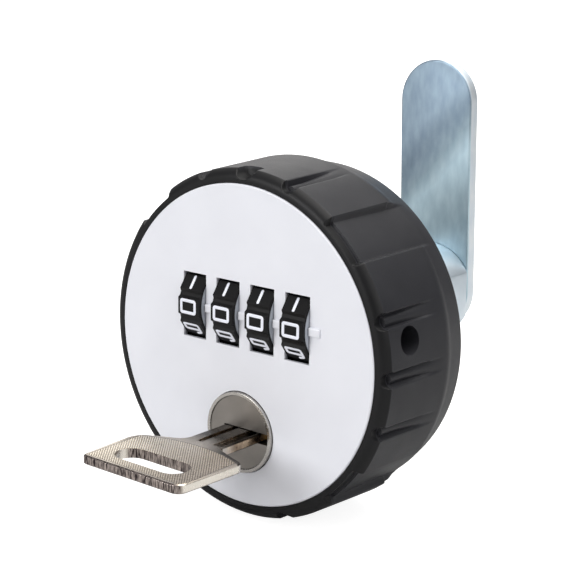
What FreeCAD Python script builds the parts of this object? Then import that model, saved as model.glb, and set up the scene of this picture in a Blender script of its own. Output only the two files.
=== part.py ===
"""Round combination locker lock: a knob with four number wheels, a master-key plug and a cam bar.

Millimetres. The origin is the centre of the base's rear face, where the lock sits on a door.
+Y points into the door, +Z up, +X to the right of somebody who faces the knob.
Depths are counted from the front of the faceplate, back into the lock.
"""
import FreeCAD, Part
import math
import os

V = FreeCAD.Vector

# Faceplate
FACE_RADIUS = 25.95
FACE_THICK = 1.5
FACE_EDGE = 0.2
DISH_RADIUS = 8.9
DISH_DEPTH = 0.18
PEG_RADIUS = 0.9
PEG_LENGTH = 2.0
PEG_PLACES = ((-17.0, -9.0), (17.0, -9.0), (0.0, 18.5))

# Depth of each slice of the lock, front to back
FLANGE_THICK = 2.2
HOUSING_LENGTH = 12.4
RIM_GAP = 0.2
HUB_LENGTH = 4.9
FLOOR_GAP = 0.3
FLOOR_THICK = 3.0
FLANGE_REAR = FACE_THICK + FLANGE_THICK
HOUSING_REAR = FACE_THICK + HOUSING_LENGTH
RIM_FRONT = HOUSING_REAR + RIM_GAP
HUB_REAR = HOUSING_REAR + HUB_LENGTH
FLOOR_FRONT = HUB_REAR + FLOOR_GAP
DOOR_DEPTH = FLOOR_FRONT + FLOOR_THICK

# Grip ring
BEZEL_WIDTH = 2.25
BEZEL_DEPTH = 1.5
LIP_WIDTH = 0.45
LIP_SET = 0.15
DRAFT = 0.65
GRIP_REAR = 15.0
STEP_LENGTH = 2.4
STEP_FILLET = 1.2
BAND_DROP = 0.85
BAND_DRAFT = 0.95
SKIRT_GAP = 0.4
SEAT_LEDGE = 4.45
WALL = 1.45
LIP_RADIUS = FACE_RADIUS + LIP_WIDTH
GRIP_FRONT_RADIUS = FACE_RADIUS + BEZEL_WIDTH
GRIP_RADIUS = GRIP_FRONT_RADIUS + DRAFT
BAND_RADIUS = GRIP_RADIUS - BAND_DROP
BAND_REAR_RADIUS = BAND_RADIUS - BAND_DRAFT
RING_REAR = DOOR_DEPTH - SKIRT_GAP
RING_BORE = FACE_RADIUS - WALL
FLANGE_BORE = FACE_RADIUS - SEAT_LEDGE

# Grooves and recesses of the grip
GROOVE_RADIUS = 1.2
GROOVE_REAR = 14.6
GROOVE_RUN_OUT = 3.2
MOUTH_DROP = 1.35
MOUTH_DEPTH = 1.7
FLOOR_DROP = 1.0
RECESS_ANGLE = 17.0
RECESS_SLOPE = 1.0
RECESS_REAR = 13.4
RECESS_RISE = 0.2
RECESS_RUN_OUT = 3.6
CLOSED_FRONT = 3.0
FLOOR_RADIUS = GRIP_FRONT_RADIUS - FLOOR_DROP
MOUTH_RADIUS = GRIP_FRONT_RADIUS - MOUTH_DROP
GROOVE_ANGLES = (-18.0, 0.0, 18.0, 72.0, 108.0, 162.0, 180.0, 198.0, 252.0, 270.0, 288.0)
RECESS_ANGLES = (45.0, 135.0, 225.0, 315.0)
CLOSED_ANGLES = (162.0, 180.0, 198.0, 225.0, 252.0, 270.0)
THUMB_ANGLE = 90.0
THUMB_RADIUS = 2.4

# Number wheels
WHEELS = 4
WHEEL_PITCH = 7.05
WHEELS_X = 0.83
AXLE_Z = 5.12
AXLE_DEPTH = 5.0
PAD_APOTHEM = 6.5
PAD_HALF_ANGLE = 11.5
GROOVE_HALF_ANGLE = 2.6
PAD_DROP = 0.25
DIGITS = 10
WHEEL_WIDTH = 4.6
DISC_RADIUS = 5.9
DISC_THICK = 0.8
HUB_RADIUS = 4.6
COLLAR_RADIUS = 3.1
COLLAR_WIDTH = 0.9
GATE_WIDTH = 2.0
GATE_DEPTH = 0.9
LUG_RADIUS = 0.5
PAD_RADIUS = PAD_APOTHEM / math.cos(math.radians(PAD_HALF_ANGLE))

# Windows and index marks
WINDOW_WIDTH = 4.85
WINDOW_HEIGHT = 10.7
RELIEF_WIDTH = 6.0
RELIEF_HEIGHT = 12.4
RELIEF_FRONT = 0.5
INDEX_HEIGHT = 1.3
INDEX_LENGTH = 2.1
INDEX_PROUD = 0.45

# Axle and reset button
AXLE_RADIUS = 1.5
AXLE_LEFT = -16.5
RESET_DEPTH = 6.15
RESET_HOLE_RADIUS = 2.2
RESET_HEAD_RADIUS = 2.1
RESET_HEAD_THICK = 1.5
RESET_STEM_RADIUS = 1.1
RESET_STEM_LEFT = 17.6
RESET_SHOULDER = 18.2
RESET_FACE = 23.0
RESET_TRAVEL = 1.2
RESET_WIRE = 0.22

# Key plug and its sleeve
PLUG_Z = -14.08
PLUG_RADIUS = 6.0
PLUG_PROUD = 0.2
PLUG_REAR = 12.0
PLUG_BOSS_RADIUS = 2.6
PLUG_BOSS_FLAT = 2.0
PLUG_BOSS_REAR = 14.9
SLEEVE_RADIUS = 6.65
SLEEVE_PROUD = 0.4
SLEEVE_FLANGE_RADIUS = 7.3
SLEEVE_FLANGE_THICK = 0.8
LEVER_THICK = 1.5
LEVER_RADIUS = 3.6
LEVER_REACH = 6.1
LEVER_NOSE = 1.2
CLIP_RADIUS = 3.6
CLIP_THICK = 0.6
CLIP_MOUTH = 2.4
WAFERS = 5
WAFER_PITCH = 1.9
WAFER_FIRST = 2.2
WAFER_THICK = 0.8
WAFER_WIDTH = 10.6
WAFER_HEIGHT = 3.8

# Master key
KEY_THICK = 1.6
BLADE_X = 0.7
BLADE_WIDTH = 7.4
BLADE_INSERTED = 11.5
BLADE_TIP = 1.4
KEYWAY_GAP = 0.1
NECK_DEPTH = -9.55
RIGHT_NECK_RADIUS = 1.2
LEFT_NECK_RADIUS = 2.2
BOW_FRONT = -25.1
BOW_LENGTH = 13.2
BOW_RIGHT = 11.0
BOW_LEFT = -10.3
BOW_TAPER = 0.6
RIGHT_SHOULDER_RADIUS = 1.3
LEFT_SHOULDER_DROP = 1.0
LEFT_SHOULDER_RADIUS = 3.5
RIGHT_CORNER_RADIUS = 1.8
LEFT_CORNER_RADIUS = 0.7
SLOT_LENGTH = 13.9
SLOT_HEIGHT = 5.0
SLOT_FROM_END = 5.0
SLOT_X = 0.25
KEY_EDGE = 0.25
BLADE_GROOVES = ((-1.2, 1.0), (2.4, 1.8))
BLADE_GROOVE_DEPTH = 0.45
BLADE_GROOVE_FRONT = -8.9
BITTING = (0.9, 0.5, 1.1, 0.7, 0.4)

# Locking bolt
BOLT_THICK = 1.4
BOLT_FRONT_GAP = 0.1
BOLT_TRAVEL = 1.8
TONGUE_WIDTH = 6.0
TONGUE_TOP = 20.9
TAB_HEIGHT = 2.0
TAB_REACH = 3.8
BAR_HEIGHT = 2.4
LEG_BOTTOM = -7.0
FENCE_WIDTH = 0.6
TOOTH_WIDTH = 1.4
TOOTH_DROP = 0.8
SPRING_X = 9.0
SPRING_LENGTH = 5.6
SPRING_RADIUS = 0.6
SPRING_WIRE = 0.2
SPRING_TURNS = 6

# Detent comb
COMB_THICK = 0.3
COMB_LIFT = 0.45
COMB_BAR_HEIGHT = 2.4
COMB_BUMP_RADIUS = 0.5
COMB_FINGER_WIDTH = 3.6
COMB_SCREW_X = 11.4
COMB_SCREW_LENGTH = 1.8
DRIVER_SLOT = 0.4

# Base, barrel and spindle
CUP_BORE = 21.6
CUP_RADIUS = 23.8
BARREL_RADIUS = 8.5
BARREL_FLAT = 7.5
BARREL_LENGTH = 31.45
BARREL_FLANGE_RADIUS = 11.7
BARREL_FLANGE_THICK = 2.0
SPINDLE_RADIUS = 4.9
SPINDLE_FLANGE_RADIUS = 9.4
SPINDLE_FLANGE_THICK = 2.0
SPINDLE_SQUARE = 6.5
STOP_RADIUS = 16.0
STOP_PIN_RADIUS = 1.2
STOP_REACH = 2.6
TURN = 90.0
FIXING_SPACING = 38.0
FIXING_HOLE_RADIUS = 1.65

# Cam bar
CAM_GAP = 0.15
CAM_WIDTH = 15.0
CAM_THICK = 2.4
CAM_TIP = 41.6
CAM_LEAN = 1.5
CAM_EDGE = 0.4
WASHER_RADIUS = 5.6
WASHER_THICK = 1.2
WASHER_SPLIT = 1.0
CAM_SCREW_RADIUS = 2.5
CAM_SCREW_LENGTH = 9.0
CAM_HEAD_RADIUS = 4.6
CAM_HEAD_HEIGHT = 3.2
CAM_HEX = 4.0
CAM_HEX_DEPTH = 1.8

# Small screws
SCREW_RADIUS = 0.8
SCREW_HEAD_RADIUS = 1.4
SCREW_HEAD_DEPTH = 1.0
SCREW_LENGTH = 5.0
RING_SCREW_PLACE = 22.85
RING_SCREW_HEAD = 1.2
RING_SCREW_SKIN = 0.5
RING_SCREW_ANGLES = (60.0, 120.0, 240.0, 300.0)
HUB_SCREW_PLACE = 19.4
HUB_SCREW_ANGLES = (45.0, 135.0, 225.0, 315.0)
FLANGE_SCREW_ANGLES = (90.0, 210.0, 330.0)
SPINDLE_SCREW_PLACE = 7.2
BARREL_SCREW_PLACE = 10.1

# Clearances
RUN = 0.05
FIT = 0.1
CLEAR = 0.3

# Places that follow from the sizes above
SLOT_LEFT = WHEEL_WIDTH / 2 + COLLAR_WIDTH + CLEAR
SLOT_RIGHT = WHEEL_WIDTH / 2 + CLEAR
POCKET_REAR = AXLE_DEPTH + PAD_RADIUS + CLEAR
BOLT_FRONT = POCKET_REAR + CLEAR
BOLT_REAR = BOLT_FRONT + BOLT_THICK
COMB_TOP = AXLE_Z - PAD_RADIUS - COMB_LIFT
FENCE_LOW = AXLE_Z + COLLAR_RADIUS + CLEAR
BAR_LOW = FENCE_LOW + TOOTH_DROP
BAR_HIGH = BAR_LOW + BAR_HEIGHT
SHOULDER_Y = BARREL_LENGTH + CAM_GAP
CAM_REAR = SHOULDER_Y + CAM_THICK
WASHER_REAR = CAM_REAR + WASHER_THICK
LEVER_FRONT = PLUG_REAR + FIT
LEVER_REAR = LEVER_FRONT + LEVER_THICK
SLOT_CENTRE = BOW_FRONT + SLOT_FROM_END


def at(depth):
    """Y of a depth behind the front of the faceplate."""
    return depth - DOOR_DEPTH


def wheel_x(n):
    """X of the middle of wheel n, counted from the left."""
    return WHEELS_X + (n - (WHEELS - 1) / 2) * WHEEL_PITCH


def disc(radius, near, far, x=0.0, z=0.0):
    """Round bar along Y between two depths."""
    return Part.makeCylinder(radius, far - near, V(x, at(near), z), V(0, 1, 0))


def rod(radius, left, right, depth, z):
    """Round bar along X between two sides."""
    return Part.makeCylinder(radius, right - left, V(left, at(depth), z), V(1, 0, 0))


def block(left, right, near, far, low, high):
    """Box between two sides, two depths and two heights."""
    return Part.makeBox(right - left, far - near, high - low, V(left, at(near), low))


def swing(shape, degrees):
    """A copy turned about the lock's axis, anticlockwise to somebody who faces the knob."""
    turned = shape.copy()
    turned.rotate(V(0, 0, 0), V(0, -1, 0), degrees)
    return turned


def lathe(outline, degrees=360.0):
    """Solid turned about Y from (radius, depth) points."""
    points = [V(radius, at(depth), 0) for radius, depth in outline]
    face = Part.Face(Part.makePolygon(points + points[:1]))
    return face.revolve(V(0, 0, 0), V(0, -1, 0), degrees)


def plate(outline, y, thick):
    """Flat plate in XZ from (x, z) points, thickened towards the back from y."""
    points = [V(x, y, z) for x, z in outline]
    face = Part.Face(Part.makePolygon(points + points[:1]))
    return face.extrude(V(0, thick, 0))


def polar(place, degrees):
    """(x, z) of a point on a circle about the lock's axis."""
    angle = math.radians(degrees)
    return place * math.cos(angle), place * math.sin(angle)


def countersunk(x, z, head_depth, tip_depth, shank=SCREW_RADIUS, head=SCREW_HEAD_RADIUS):
    """Countersunk screw along Y from its head face to its tip, whichever way it points."""
    way = V(0, math.copysign(1, tip_depth - head_depth), 0)
    start = V(x, at(head_depth), z)
    bar = Part.makeCylinder(shank, abs(tip_depth - head_depth), start, way)
    cone = Part.makeCone(head, shank, SCREW_HEAD_DEPTH, start, way)
    return bar.fuse(cone).removeSplitter()


def coil(radius, wire, length, turns):
    """Closed helical spring along Z from the origin."""
    helix = Part.makeHelix(length / turns, length, radius)
    ring = Part.Wire(Part.makeCircle(wire, V(radius, 0, 0), V(0, 1, 0)))
    return Part.Wire(helix).makePipeShell([ring], True, True)


def round_slot(radius, floor, near, far):
    """Round-bottomed slot along Y on the +X side, open outwards."""
    middle = floor + radius
    bottom = disc(radius, near, far, middle)
    return bottom.fuse(block(middle, GRIP_RADIUS + radius, near, far, -radius, radius))


def groove(radius, angle):
    """Cutter of one finger groove: round floor, sloping run-out, and a shallower mouth through the bezel."""
    outside = GRIP_RADIUS + radius
    closed = angle in CLOSED_ANGLES
    near = CLOSED_FRONT if closed else MOUTH_DEPTH
    far = GROOVE_REAR + GROOVE_RUN_OUT
    profile = ((FLOOR_RADIUS, near), (FLOOR_RADIUS, GROOVE_REAR), (outside, far), (outside, near))
    points = [V(place, at(depth), -radius) for place, depth in profile]
    long_way = Part.Face(Part.makePolygon(points + points[:1])).extrude(V(0, 0, 2 * radius))
    cutter = round_slot(radius, FLOOR_RADIUS, near, far).common(long_way)
    if not closed:
        cutter = cutter.fuse(round_slot(radius, MOUTH_RADIUS, -1.0, near))
    return swing(cutter, angle)


def recess(angle):
    """Cutter of one wide recess: floor and run-out about the axis, between two sloping side walls."""
    outside = GRIP_RADIUS + 1.0
    closed = angle in CLOSED_ANGLES
    near = CLOSED_FRONT if closed else MOUTH_DEPTH
    run_out = RECESS_REAR + RECESS_RUN_OUT
    outline = [
        (FLOOR_RADIUS, near),
        (FLOOR_RADIUS + RECESS_RISE, RECESS_REAR),
        (outside, run_out),
        (outside, near if closed else -1.0),
    ]
    if not closed:
        outline += [(MOUTH_RADIUS, -1.0), (MOUTH_RADIUS, near)]
    hollow = swing(lathe(outline, 2 * RECESS_ANGLE), -RECESS_ANGLE)
    half = RECESS_ANGLE / 2
    foot_x, foot_z = polar(MOUTH_RADIUS, half - math.degrees(RECESS_SLOPE / MOUTH_RADIUS))
    rim_x, rim_z = polar(GRIP_RADIUS, half)
    lean = (rim_z - foot_z) / (rim_x - foot_x)
    wide = rim_z + lean * (outside - rim_x)
    wedge = ((foot_x, foot_z), (outside, wide), (outside, -wide), (foot_x, -foot_z))
    sides = plate(wedge, at(-1.0), run_out + 1.0)
    return swing(hollow.common(sides), angle)


def grip_ring():
    """Moulded ring: bezel, pads, skirt and the inner flange that the faceplate sits on."""
    seat = FACE_RADIUS + FIT
    ring = lathe(
        (
            (FLANGE_BORE, FACE_THICK),
            (seat, FACE_THICK),
            (seat, LIP_SET),
            (LIP_RADIUS, LIP_SET),
            (GRIP_FRONT_RADIUS, BEZEL_DEPTH),
            (GRIP_RADIUS, GRIP_REAR),
            (BAND_RADIUS, GRIP_REAR + STEP_LENGTH),
            (BAND_REAR_RADIUS, RING_REAR),
            (RING_BORE, RING_REAR),
            (RING_BORE, FLANGE_REAR),
            (FLANGE_BORE, FLANGE_REAR),
        )
    )
    brink = [e for e in ring.Edges if len(e.Vertexes) == 1 and abs(e.Vertexes[0].X - GRIP_RADIUS) < 0.01]
    ring = ring.makeFillet(STEP_FILLET, brink)
    cutters = [groove(GROOVE_RADIUS, angle) for angle in GROOVE_ANGLES]
    cutters.append(groove(THUMB_RADIUS, THUMB_ANGLE))
    cutters += [recess(angle) for angle in RECESS_ANGLES]
    cutters.append(rod(RESET_HOLE_RADIUS, RING_BORE - 1, GRIP_RADIUS + 1, RESET_DEPTH, AXLE_Z))
    for angle in RING_SCREW_ANGLES:
        x, z = polar(RING_SCREW_PLACE, angle)
        cutters.append(disc(SCREW_RADIUS, FACE_THICK + RING_SCREW_SKIN, FLANGE_REAR, x, z))
    return ring.cut(cutters)


def faceplate():
    """White face with its wheel windows, plug hole, index marks and three rear pegs."""
    face = disc(FACE_RADIUS, 0, FACE_THICK)
    rim = [edge for edge in face.Edges if len(edge.Vertexes) == 1 and abs(edge.Vertexes[0].Y - at(0)) < 0.01]
    face = face.makeChamfer(FACE_EDGE, rim)
    dish = lathe(((0, 0), (DISH_RADIUS, 0), (SLEEVE_FLANGE_RADIUS, DISH_DEPTH), (0, DISH_DEPTH)))
    dish.translate(V(0, 0, PLUG_Z))
    cutters = [dish, disc(SLEEVE_RADIUS + FIT, -1, FACE_THICK + 1, 0, PLUG_Z)]
    low = AXLE_Z - WINDOW_HEIGHT / 2
    marks = []
    for n in range(WHEELS):
        left = wheel_x(n) - WINDOW_WIDTH / 2
        right = left + WINDOW_WIDTH
        cutters.append(block(left, right, -1, FACE_THICK + 1, low, low + WINDOW_HEIGHT))
        near_x = wheel_x(n) - RELIEF_WIDTH / 2
        foot = AXLE_Z - RELIEF_HEIGHT / 2
        relief = (near_x, near_x + RELIEF_WIDTH, RELIEF_FRONT, FACE_THICK + 1, foot, foot + RELIEF_HEIGHT)
        cutters.append(block(*relief))
        marks.append(index_mark(right))
    pegs = [disc(PEG_RADIUS, FACE_THICK, FACE_THICK + PEG_LENGTH, x, z) for x, z in PEG_PLACES]
    return face.cut(cutters).fuse(marks + pegs).removeSplitter()


def index_mark(left):
    """Raised tab that marks the reading line, to the right of one window."""
    half = INDEX_HEIGHT / 2
    tab = block(left, left + INDEX_LENGTH, -INDEX_PROUD, 0.1, AXLE_Z - half, AXLE_Z + half)
    top = [e for e in tab.Edges if all(abs(v.Y - at(-INDEX_PROUD)) < 0.01 for v in e.Vertexes)]
    return tab.makeFillet(INDEX_PROUD / 2, top)


def wheel_housing():
    """Drum that carries the wheels, the plug sleeve, the bolt and the reset button."""
    body = lathe(
        (
            (0, FACE_THICK),
            (FLANGE_BORE - FIT, FACE_THICK),
            (FLANGE_BORE - FIT, FLANGE_REAR),
            (RING_BORE - FIT, FLANGE_REAR),
            (RING_BORE - FIT, HOUSING_REAR),
            (0, HOUSING_REAR),
        )
    )
    reach = PAD_RADIUS + CLEAR
    cutters = []
    for n in range(WHEELS):
        left = wheel_x(n) - SLOT_LEFT
        right = wheel_x(n) + SLOT_RIGHT
        cutters.append(block(left, right, FACE_THICK - 1, POCKET_REAR, COMB_TOP - COMB_THICK, AXLE_Z + reach))
        finger_right = wheel_x(n) - WHEEL_WIDTH / 2
        high = BAR_HIGH + BOLT_TRAVEL + CLEAR
        cutters.append(block(left, finger_right, AXLE_DEPTH - TOOTH_WIDTH, HOUSING_REAR, AXLE_Z, high))
    cutters += bolt_space() + comb_space() + reset_space()
    cutters.append(disc(SLEEVE_RADIUS + RUN, FACE_THICK - 1, PLUG_REAR, 0, PLUG_Z))
    flange_rear = FACE_THICK + SLEEVE_FLANGE_THICK
    cutters.append(disc(SLEEVE_FLANGE_RADIUS + RUN, FACE_THICK - 1, flange_rear, 0, PLUG_Z))
    cutters.append(disc(LEVER_REACH + CLEAR, PLUG_REAR, HOUSING_REAR + 1, 0, PLUG_Z))
    peg_end = FACE_THICK + PEG_LENGTH + FIT
    cutters += [disc(PEG_RADIUS + FIT, FACE_THICK - 1, peg_end, x, z) for x, z in PEG_PLACES]
    for angle in RING_SCREW_ANGLES:
        x, z = polar(RING_SCREW_PLACE, angle)
        cutters.append(disc(SCREW_RADIUS + RUN, FLANGE_REAR - 1, HOUSING_REAR, x, z))
        cutters.append(disc(RING_SCREW_HEAD + RUN, HOUSING_REAR - SCREW_HEAD_DEPTH, HOUSING_REAR + 1, x, z))
    for angle in HUB_SCREW_ANGLES:
        x, z = polar(HUB_SCREW_PLACE, angle)
        cutters.append(disc(SCREW_RADIUS, HUB_REAR - SCREW_LENGTH - CLEAR, HOUSING_REAR + 1, x, z))
    return body.cut(cutters)


def bolt_space():
    """Slide way of the locking bolt in the back of the housing, and the pocket of its spring."""
    front = BOLT_FRONT - BOLT_FRONT_GAP
    half = TONGUE_WIDTH / 2 + RUN
    left = wheel_x(0) - SLOT_LEFT
    right = wheel_x(WHEELS - 1) - WHEEL_WIDTH / 2
    high = BAR_HIGH + BOLT_TRAVEL + CLEAR
    spring_half = SPRING_RADIUS + SPRING_WIRE + FIT
    spring_top = BAR_HIGH + SPRING_LENGTH
    return [
        block(-half, half, front, HOUSING_REAR + 1, LEG_BOTTOM - CLEAR, RING_BORE),
        block(left, right, front, HOUSING_REAR + 1, BAR_LOW - CLEAR, high),
        block(SPRING_X - spring_half, SPRING_X + spring_half, front, HOUSING_REAR + 1, BAR_LOW, spring_top),
    ]


def comb_space():
    """Channel behind the wheel slots for the bar of the detent comb, and its two screw holes."""
    left = wheel_x(0) - SLOT_LEFT
    right = wheel_x(WHEELS - 1) + SLOT_RIGHT
    low = COMB_TOP - COMB_BAR_HEIGHT - FIT
    seat = POCKET_REAR - COMB_THICK
    middle = COMB_TOP - COMB_BAR_HEIGHT / 2
    channel = block(left, right, seat, HOUSING_REAR + 1, low, COMB_TOP + CLEAR)
    tip = seat - COMB_SCREW_LENGTH - CLEAR
    holes = [disc(SCREW_RADIUS, tip, seat + 1, side * COMB_SCREW_X, middle) for side in (-1, 1)]
    return [channel] + holes


def reset_space():
    """Bores of the axle, the reset button and its stem, all along X."""
    head = rod(RESET_HOLE_RADIUS, RESET_SHOULDER, RING_BORE + 1, RESET_DEPTH, AXLE_Z)
    right = wheel_x(WHEELS - 1) + WHEEL_WIDTH / 2
    stem = rod(RESET_STEM_RADIUS + FIT, right, RESET_SHOULDER + 1, RESET_DEPTH, AXLE_Z)
    axle = rod(AXLE_RADIUS + FIT, AXLE_LEFT - RESET_TRAVEL - CLEAR, RESET_SHOULDER + 1, AXLE_DEPTH, AXLE_Z)
    return [head, stem, axle]


def hub_plate():
    """Rear half of the knob's inside: carries the spindle and turns in the base's cup."""
    body = disc(CUP_BORE - FIT, HOUSING_REAR, HUB_REAR)
    half = TONGUE_WIDTH / 2 + CLEAR
    tab_low = TONGUE_TOP - TAB_HEIGHT - CLEAR
    tab_rear = BOLT_REAR + TAB_REACH + CLEAR
    cutters = [
        block(-half, half, HOUSING_REAR - 1, tab_rear, tab_low, CUP_BORE + 1),
        disc(LEVER_REACH + CLEAR, HOUSING_REAR - 1, PLUG_BOSS_REAR + CLEAR, 0, PLUG_Z),
        disc(SPINDLE_FLANGE_RADIUS + RUN, HUB_REAR - SPINDLE_FLANGE_THICK, HUB_REAR + 1),
        stop_slot(),
    ]
    for angle in HUB_SCREW_ANGLES:
        x, z = polar(HUB_SCREW_PLACE, angle)
        cutters.append(countersunk(x, z, HUB_REAR, HOUSING_REAR - 1))
    for angle in FLANGE_SCREW_ANGLES:
        x, z = polar(SPINDLE_SCREW_PLACE, angle)
        cutters.append(disc(SCREW_RADIUS, HUB_REAR - SCREW_LENGTH + CLEAR, HUB_REAR, x, z))
    return body.cut(cutters)


def stop_slot():
    """Arc slot that the stop pin runs in, as long as the knob's turn."""
    half = STOP_PIN_RADIUS + CLEAR
    near = HUB_REAR - STOP_REACH
    outline = (
        (STOP_RADIUS - half, near),
        (STOP_RADIUS + half, near),
        (STOP_RADIUS + half, HUB_REAR + 1),
        (STOP_RADIUS - half, HUB_REAR + 1),
    )
    slot = swing(lathe(outline, TURN), 180.0)
    ends = []
    for angle in (180.0, 180.0 + TURN):
        x, z = polar(STOP_RADIUS, angle)
        ends.append(disc(half, near, HUB_REAR + 1, x, z))
    return slot.fuse(ends)


def number_ring(n):
    """Black ring of ten flat pads parted by grooves, with ten index notches in its bore."""
    outline = []
    drop = PAD_APOTHEM - PAD_DROP
    edge = 180.0 / DIGITS - GROOVE_HALF_ANGLE
    pad = ((-edge, drop), (-PAD_HALF_ANGLE, PAD_RADIUS), (PAD_HALF_ANGLE, PAD_RADIUS), (edge, drop))
    for digit in range(DIGITS):
        middle = digit * 360.0 / DIGITS
        for angle, radius in pad:
            turn = math.radians(middle + angle)
            outline.append((radius * math.cos(turn), radius * math.sin(turn)))
    left = wheel_x(n) - WHEEL_WIDTH / 2
    points = [V(left, at(AXLE_DEPTH) - forward, AXLE_Z + up) for forward, up in outline]
    ring = Part.Face(Part.makePolygon(points + points[:1])).extrude(V(WHEEL_WIDTH, 0, 0))
    right = left + WHEEL_WIDTH
    cutters = [
        rod(HUB_RADIUS + RUN, left - 1, right + 1, AXLE_DEPTH, AXLE_Z),
        rod(DISC_RADIUS + RUN, right - DISC_THICK, right + 1, AXLE_DEPTH, AXLE_Z),
    ]
    lug = LUG_RADIUS + RUN
    for digit in range(DIGITS):
        turn = math.radians(digit * 360.0 / DIGITS)
        depth = AXLE_DEPTH - HUB_RADIUS * math.cos(turn)
        cutters.append(rod(lug, left - 1, right - DISC_THICK, depth, AXLE_Z + HUB_RADIUS * math.sin(turn)))
    return ring.cut(cutters)


def code_disc(n):
    """Grey hub inside a number ring: flange on the right, gated collar on the left, one lug."""
    left = wheel_x(n) - WHEEL_WIDTH / 2
    right = left + WHEEL_WIDTH
    hub = rod(HUB_RADIUS, left, right, AXLE_DEPTH, AXLE_Z)
    flange = rod(DISC_RADIUS, right - DISC_THICK, right, AXLE_DEPTH, AXLE_Z)
    collar = rod(COLLAR_RADIUS, left - COLLAR_WIDTH, left, AXLE_DEPTH, AXLE_Z)
    lug = rod(LUG_RADIUS, left, right - DISC_THICK, AXLE_DEPTH + HUB_RADIUS, AXLE_Z)
    half = GATE_WIDTH / 2
    high = AXLE_Z + COLLAR_RADIUS
    end = left - COLLAR_WIDTH - 1
    gate = block(end, left, AXLE_DEPTH - half, AXLE_DEPTH + half, high - GATE_DEPTH, high + 1)
    bore = rod(AXLE_RADIUS + RUN, end, right + 1, AXLE_DEPTH, AXLE_Z)
    return hub.fuse([flange, collar, lug]).cut([gate, bore])


def wheel_axle():
    """Steel pin through the four wheels and the ribs between them."""
    axle = rod(AXLE_RADIUS, AXLE_LEFT, RESET_STEM_LEFT, AXLE_DEPTH, AXLE_Z)
    ends = [edge for edge in axle.Edges if len(edge.Vertexes) == 1]
    return axle.makeChamfer(CLEAR, ends)


def reset_button():
    """Headed pin at the bottom of the side hole, which bears on the axle's end."""
    stem = rod(RESET_STEM_RADIUS, RESET_STEM_LEFT, RESET_FACE, RESET_DEPTH, AXLE_Z)
    head = rod(RESET_HEAD_RADIUS, RESET_FACE - RESET_HEAD_THICK, RESET_FACE, RESET_DEPTH, AXLE_Z)
    return stem.fuse(head).removeSplitter()


def reset_spring():
    """Coil round the button's stem, between its head and the shoulder of the bore."""
    left = RESET_SHOULDER + RESET_WIRE
    length = RESET_FACE - RESET_HEAD_THICK - RESET_SHOULDER - 2 * RESET_WIRE
    radius = RESET_STEM_RADIUS + RUN + FIT + RESET_WIRE
    spring = coil(radius, RESET_WIRE, length, WHEELS - 1)
    spring.rotate(V(0, 0, 0), V(0, 1, 0), 90)
    spring.translate(V(left, at(RESET_DEPTH), AXLE_Z))
    return spring


def plug_sleeve():
    """Thin nickel-plated tube round the plug, with a flange behind the faceplate."""
    tube = disc(SLEEVE_RADIUS, -SLEEVE_PROUD, PLUG_REAR, 0, PLUG_Z)
    flange = disc(SLEEVE_FLANGE_RADIUS, FACE_THICK, FACE_THICK + SLEEVE_FLANGE_THICK, 0, PLUG_Z)
    return tube.fuse(flange).cut(disc(PLUG_RADIUS + RUN, -SLEEVE_PROUD - 1, PLUG_REAR + 1, 0, PLUG_Z))


def plug_boss(radius, flat, near, far):
    """Round bar on the plug's axis with two flats, for the boss and the hole that fits it."""
    boss = disc(radius, near, far, 0, PLUG_Z)
    return boss.common(block(-radius, radius, near, far, PLUG_Z - flat, PLUG_Z + flat))


def key_plug():
    """Turned plug with its keyway, wafer slots and the flatted boss that drives the lever."""
    body = disc(PLUG_RADIUS, -PLUG_PROUD, PLUG_REAR, 0, PLUG_Z)
    body = body.fuse(plug_boss(PLUG_BOSS_RADIUS, PLUG_BOSS_FLAT, PLUG_REAR, PLUG_BOSS_REAR))
    cutters = [keyway(BLADE_INSERTED + KEYWAY_GAP)]
    half_z = KEY_THICK / 2 + KEYWAY_GAP
    cutters.append(block(0, PLUG_RADIUS, -PLUG_PROUD - 1, WAFER_FIRST, PLUG_Z - half_z, PLUG_Z + half_z))
    for n in range(WAFERS):
        cutters.append(wafer_block(n, RUN))
    near = LEVER_REAR + FIT
    far = near + CLIP_THICK + FIT
    core = disc(PLUG_BOSS_FLAT, near, far, 0, PLUG_Z)
    cutters.append(disc(PLUG_BOSS_RADIUS + 1, near, far, 0, PLUG_Z).cut(core))
    return body.cut(cutters)


def keyway(end):
    """Flat space round the blade, from in front of the plug to a depth."""
    half_x = BLADE_WIDTH / 2 + KEYWAY_GAP
    half_z = KEY_THICK / 2 + KEYWAY_GAP
    return block(BLADE_X - half_x, BLADE_X + half_x, -PLUG_PROUD - 1, end, PLUG_Z - half_z, PLUG_Z + half_z)


def wafer_block(n, gap):
    """Block that wafer n fills, or with a gap the slot it slides in."""
    near = WAFER_FIRST + n * WAFER_PITCH - gap
    far = near + WAFER_THICK + 2 * gap
    half_x = WAFER_WIDTH / 2 + gap
    half_z = WAFER_HEIGHT / 2 + gap
    return block(-half_x, half_x, near, far, PLUG_Z - half_z, PLUG_Z + half_z)


def wafers():
    """Brass plates in the plug, each with a window that the blade passes."""
    window = keyway(PLUG_REAR)
    return Part.makeCompound([wafer_block(n, 0.0).cut(window) for n in range(WAFERS)])


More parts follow.
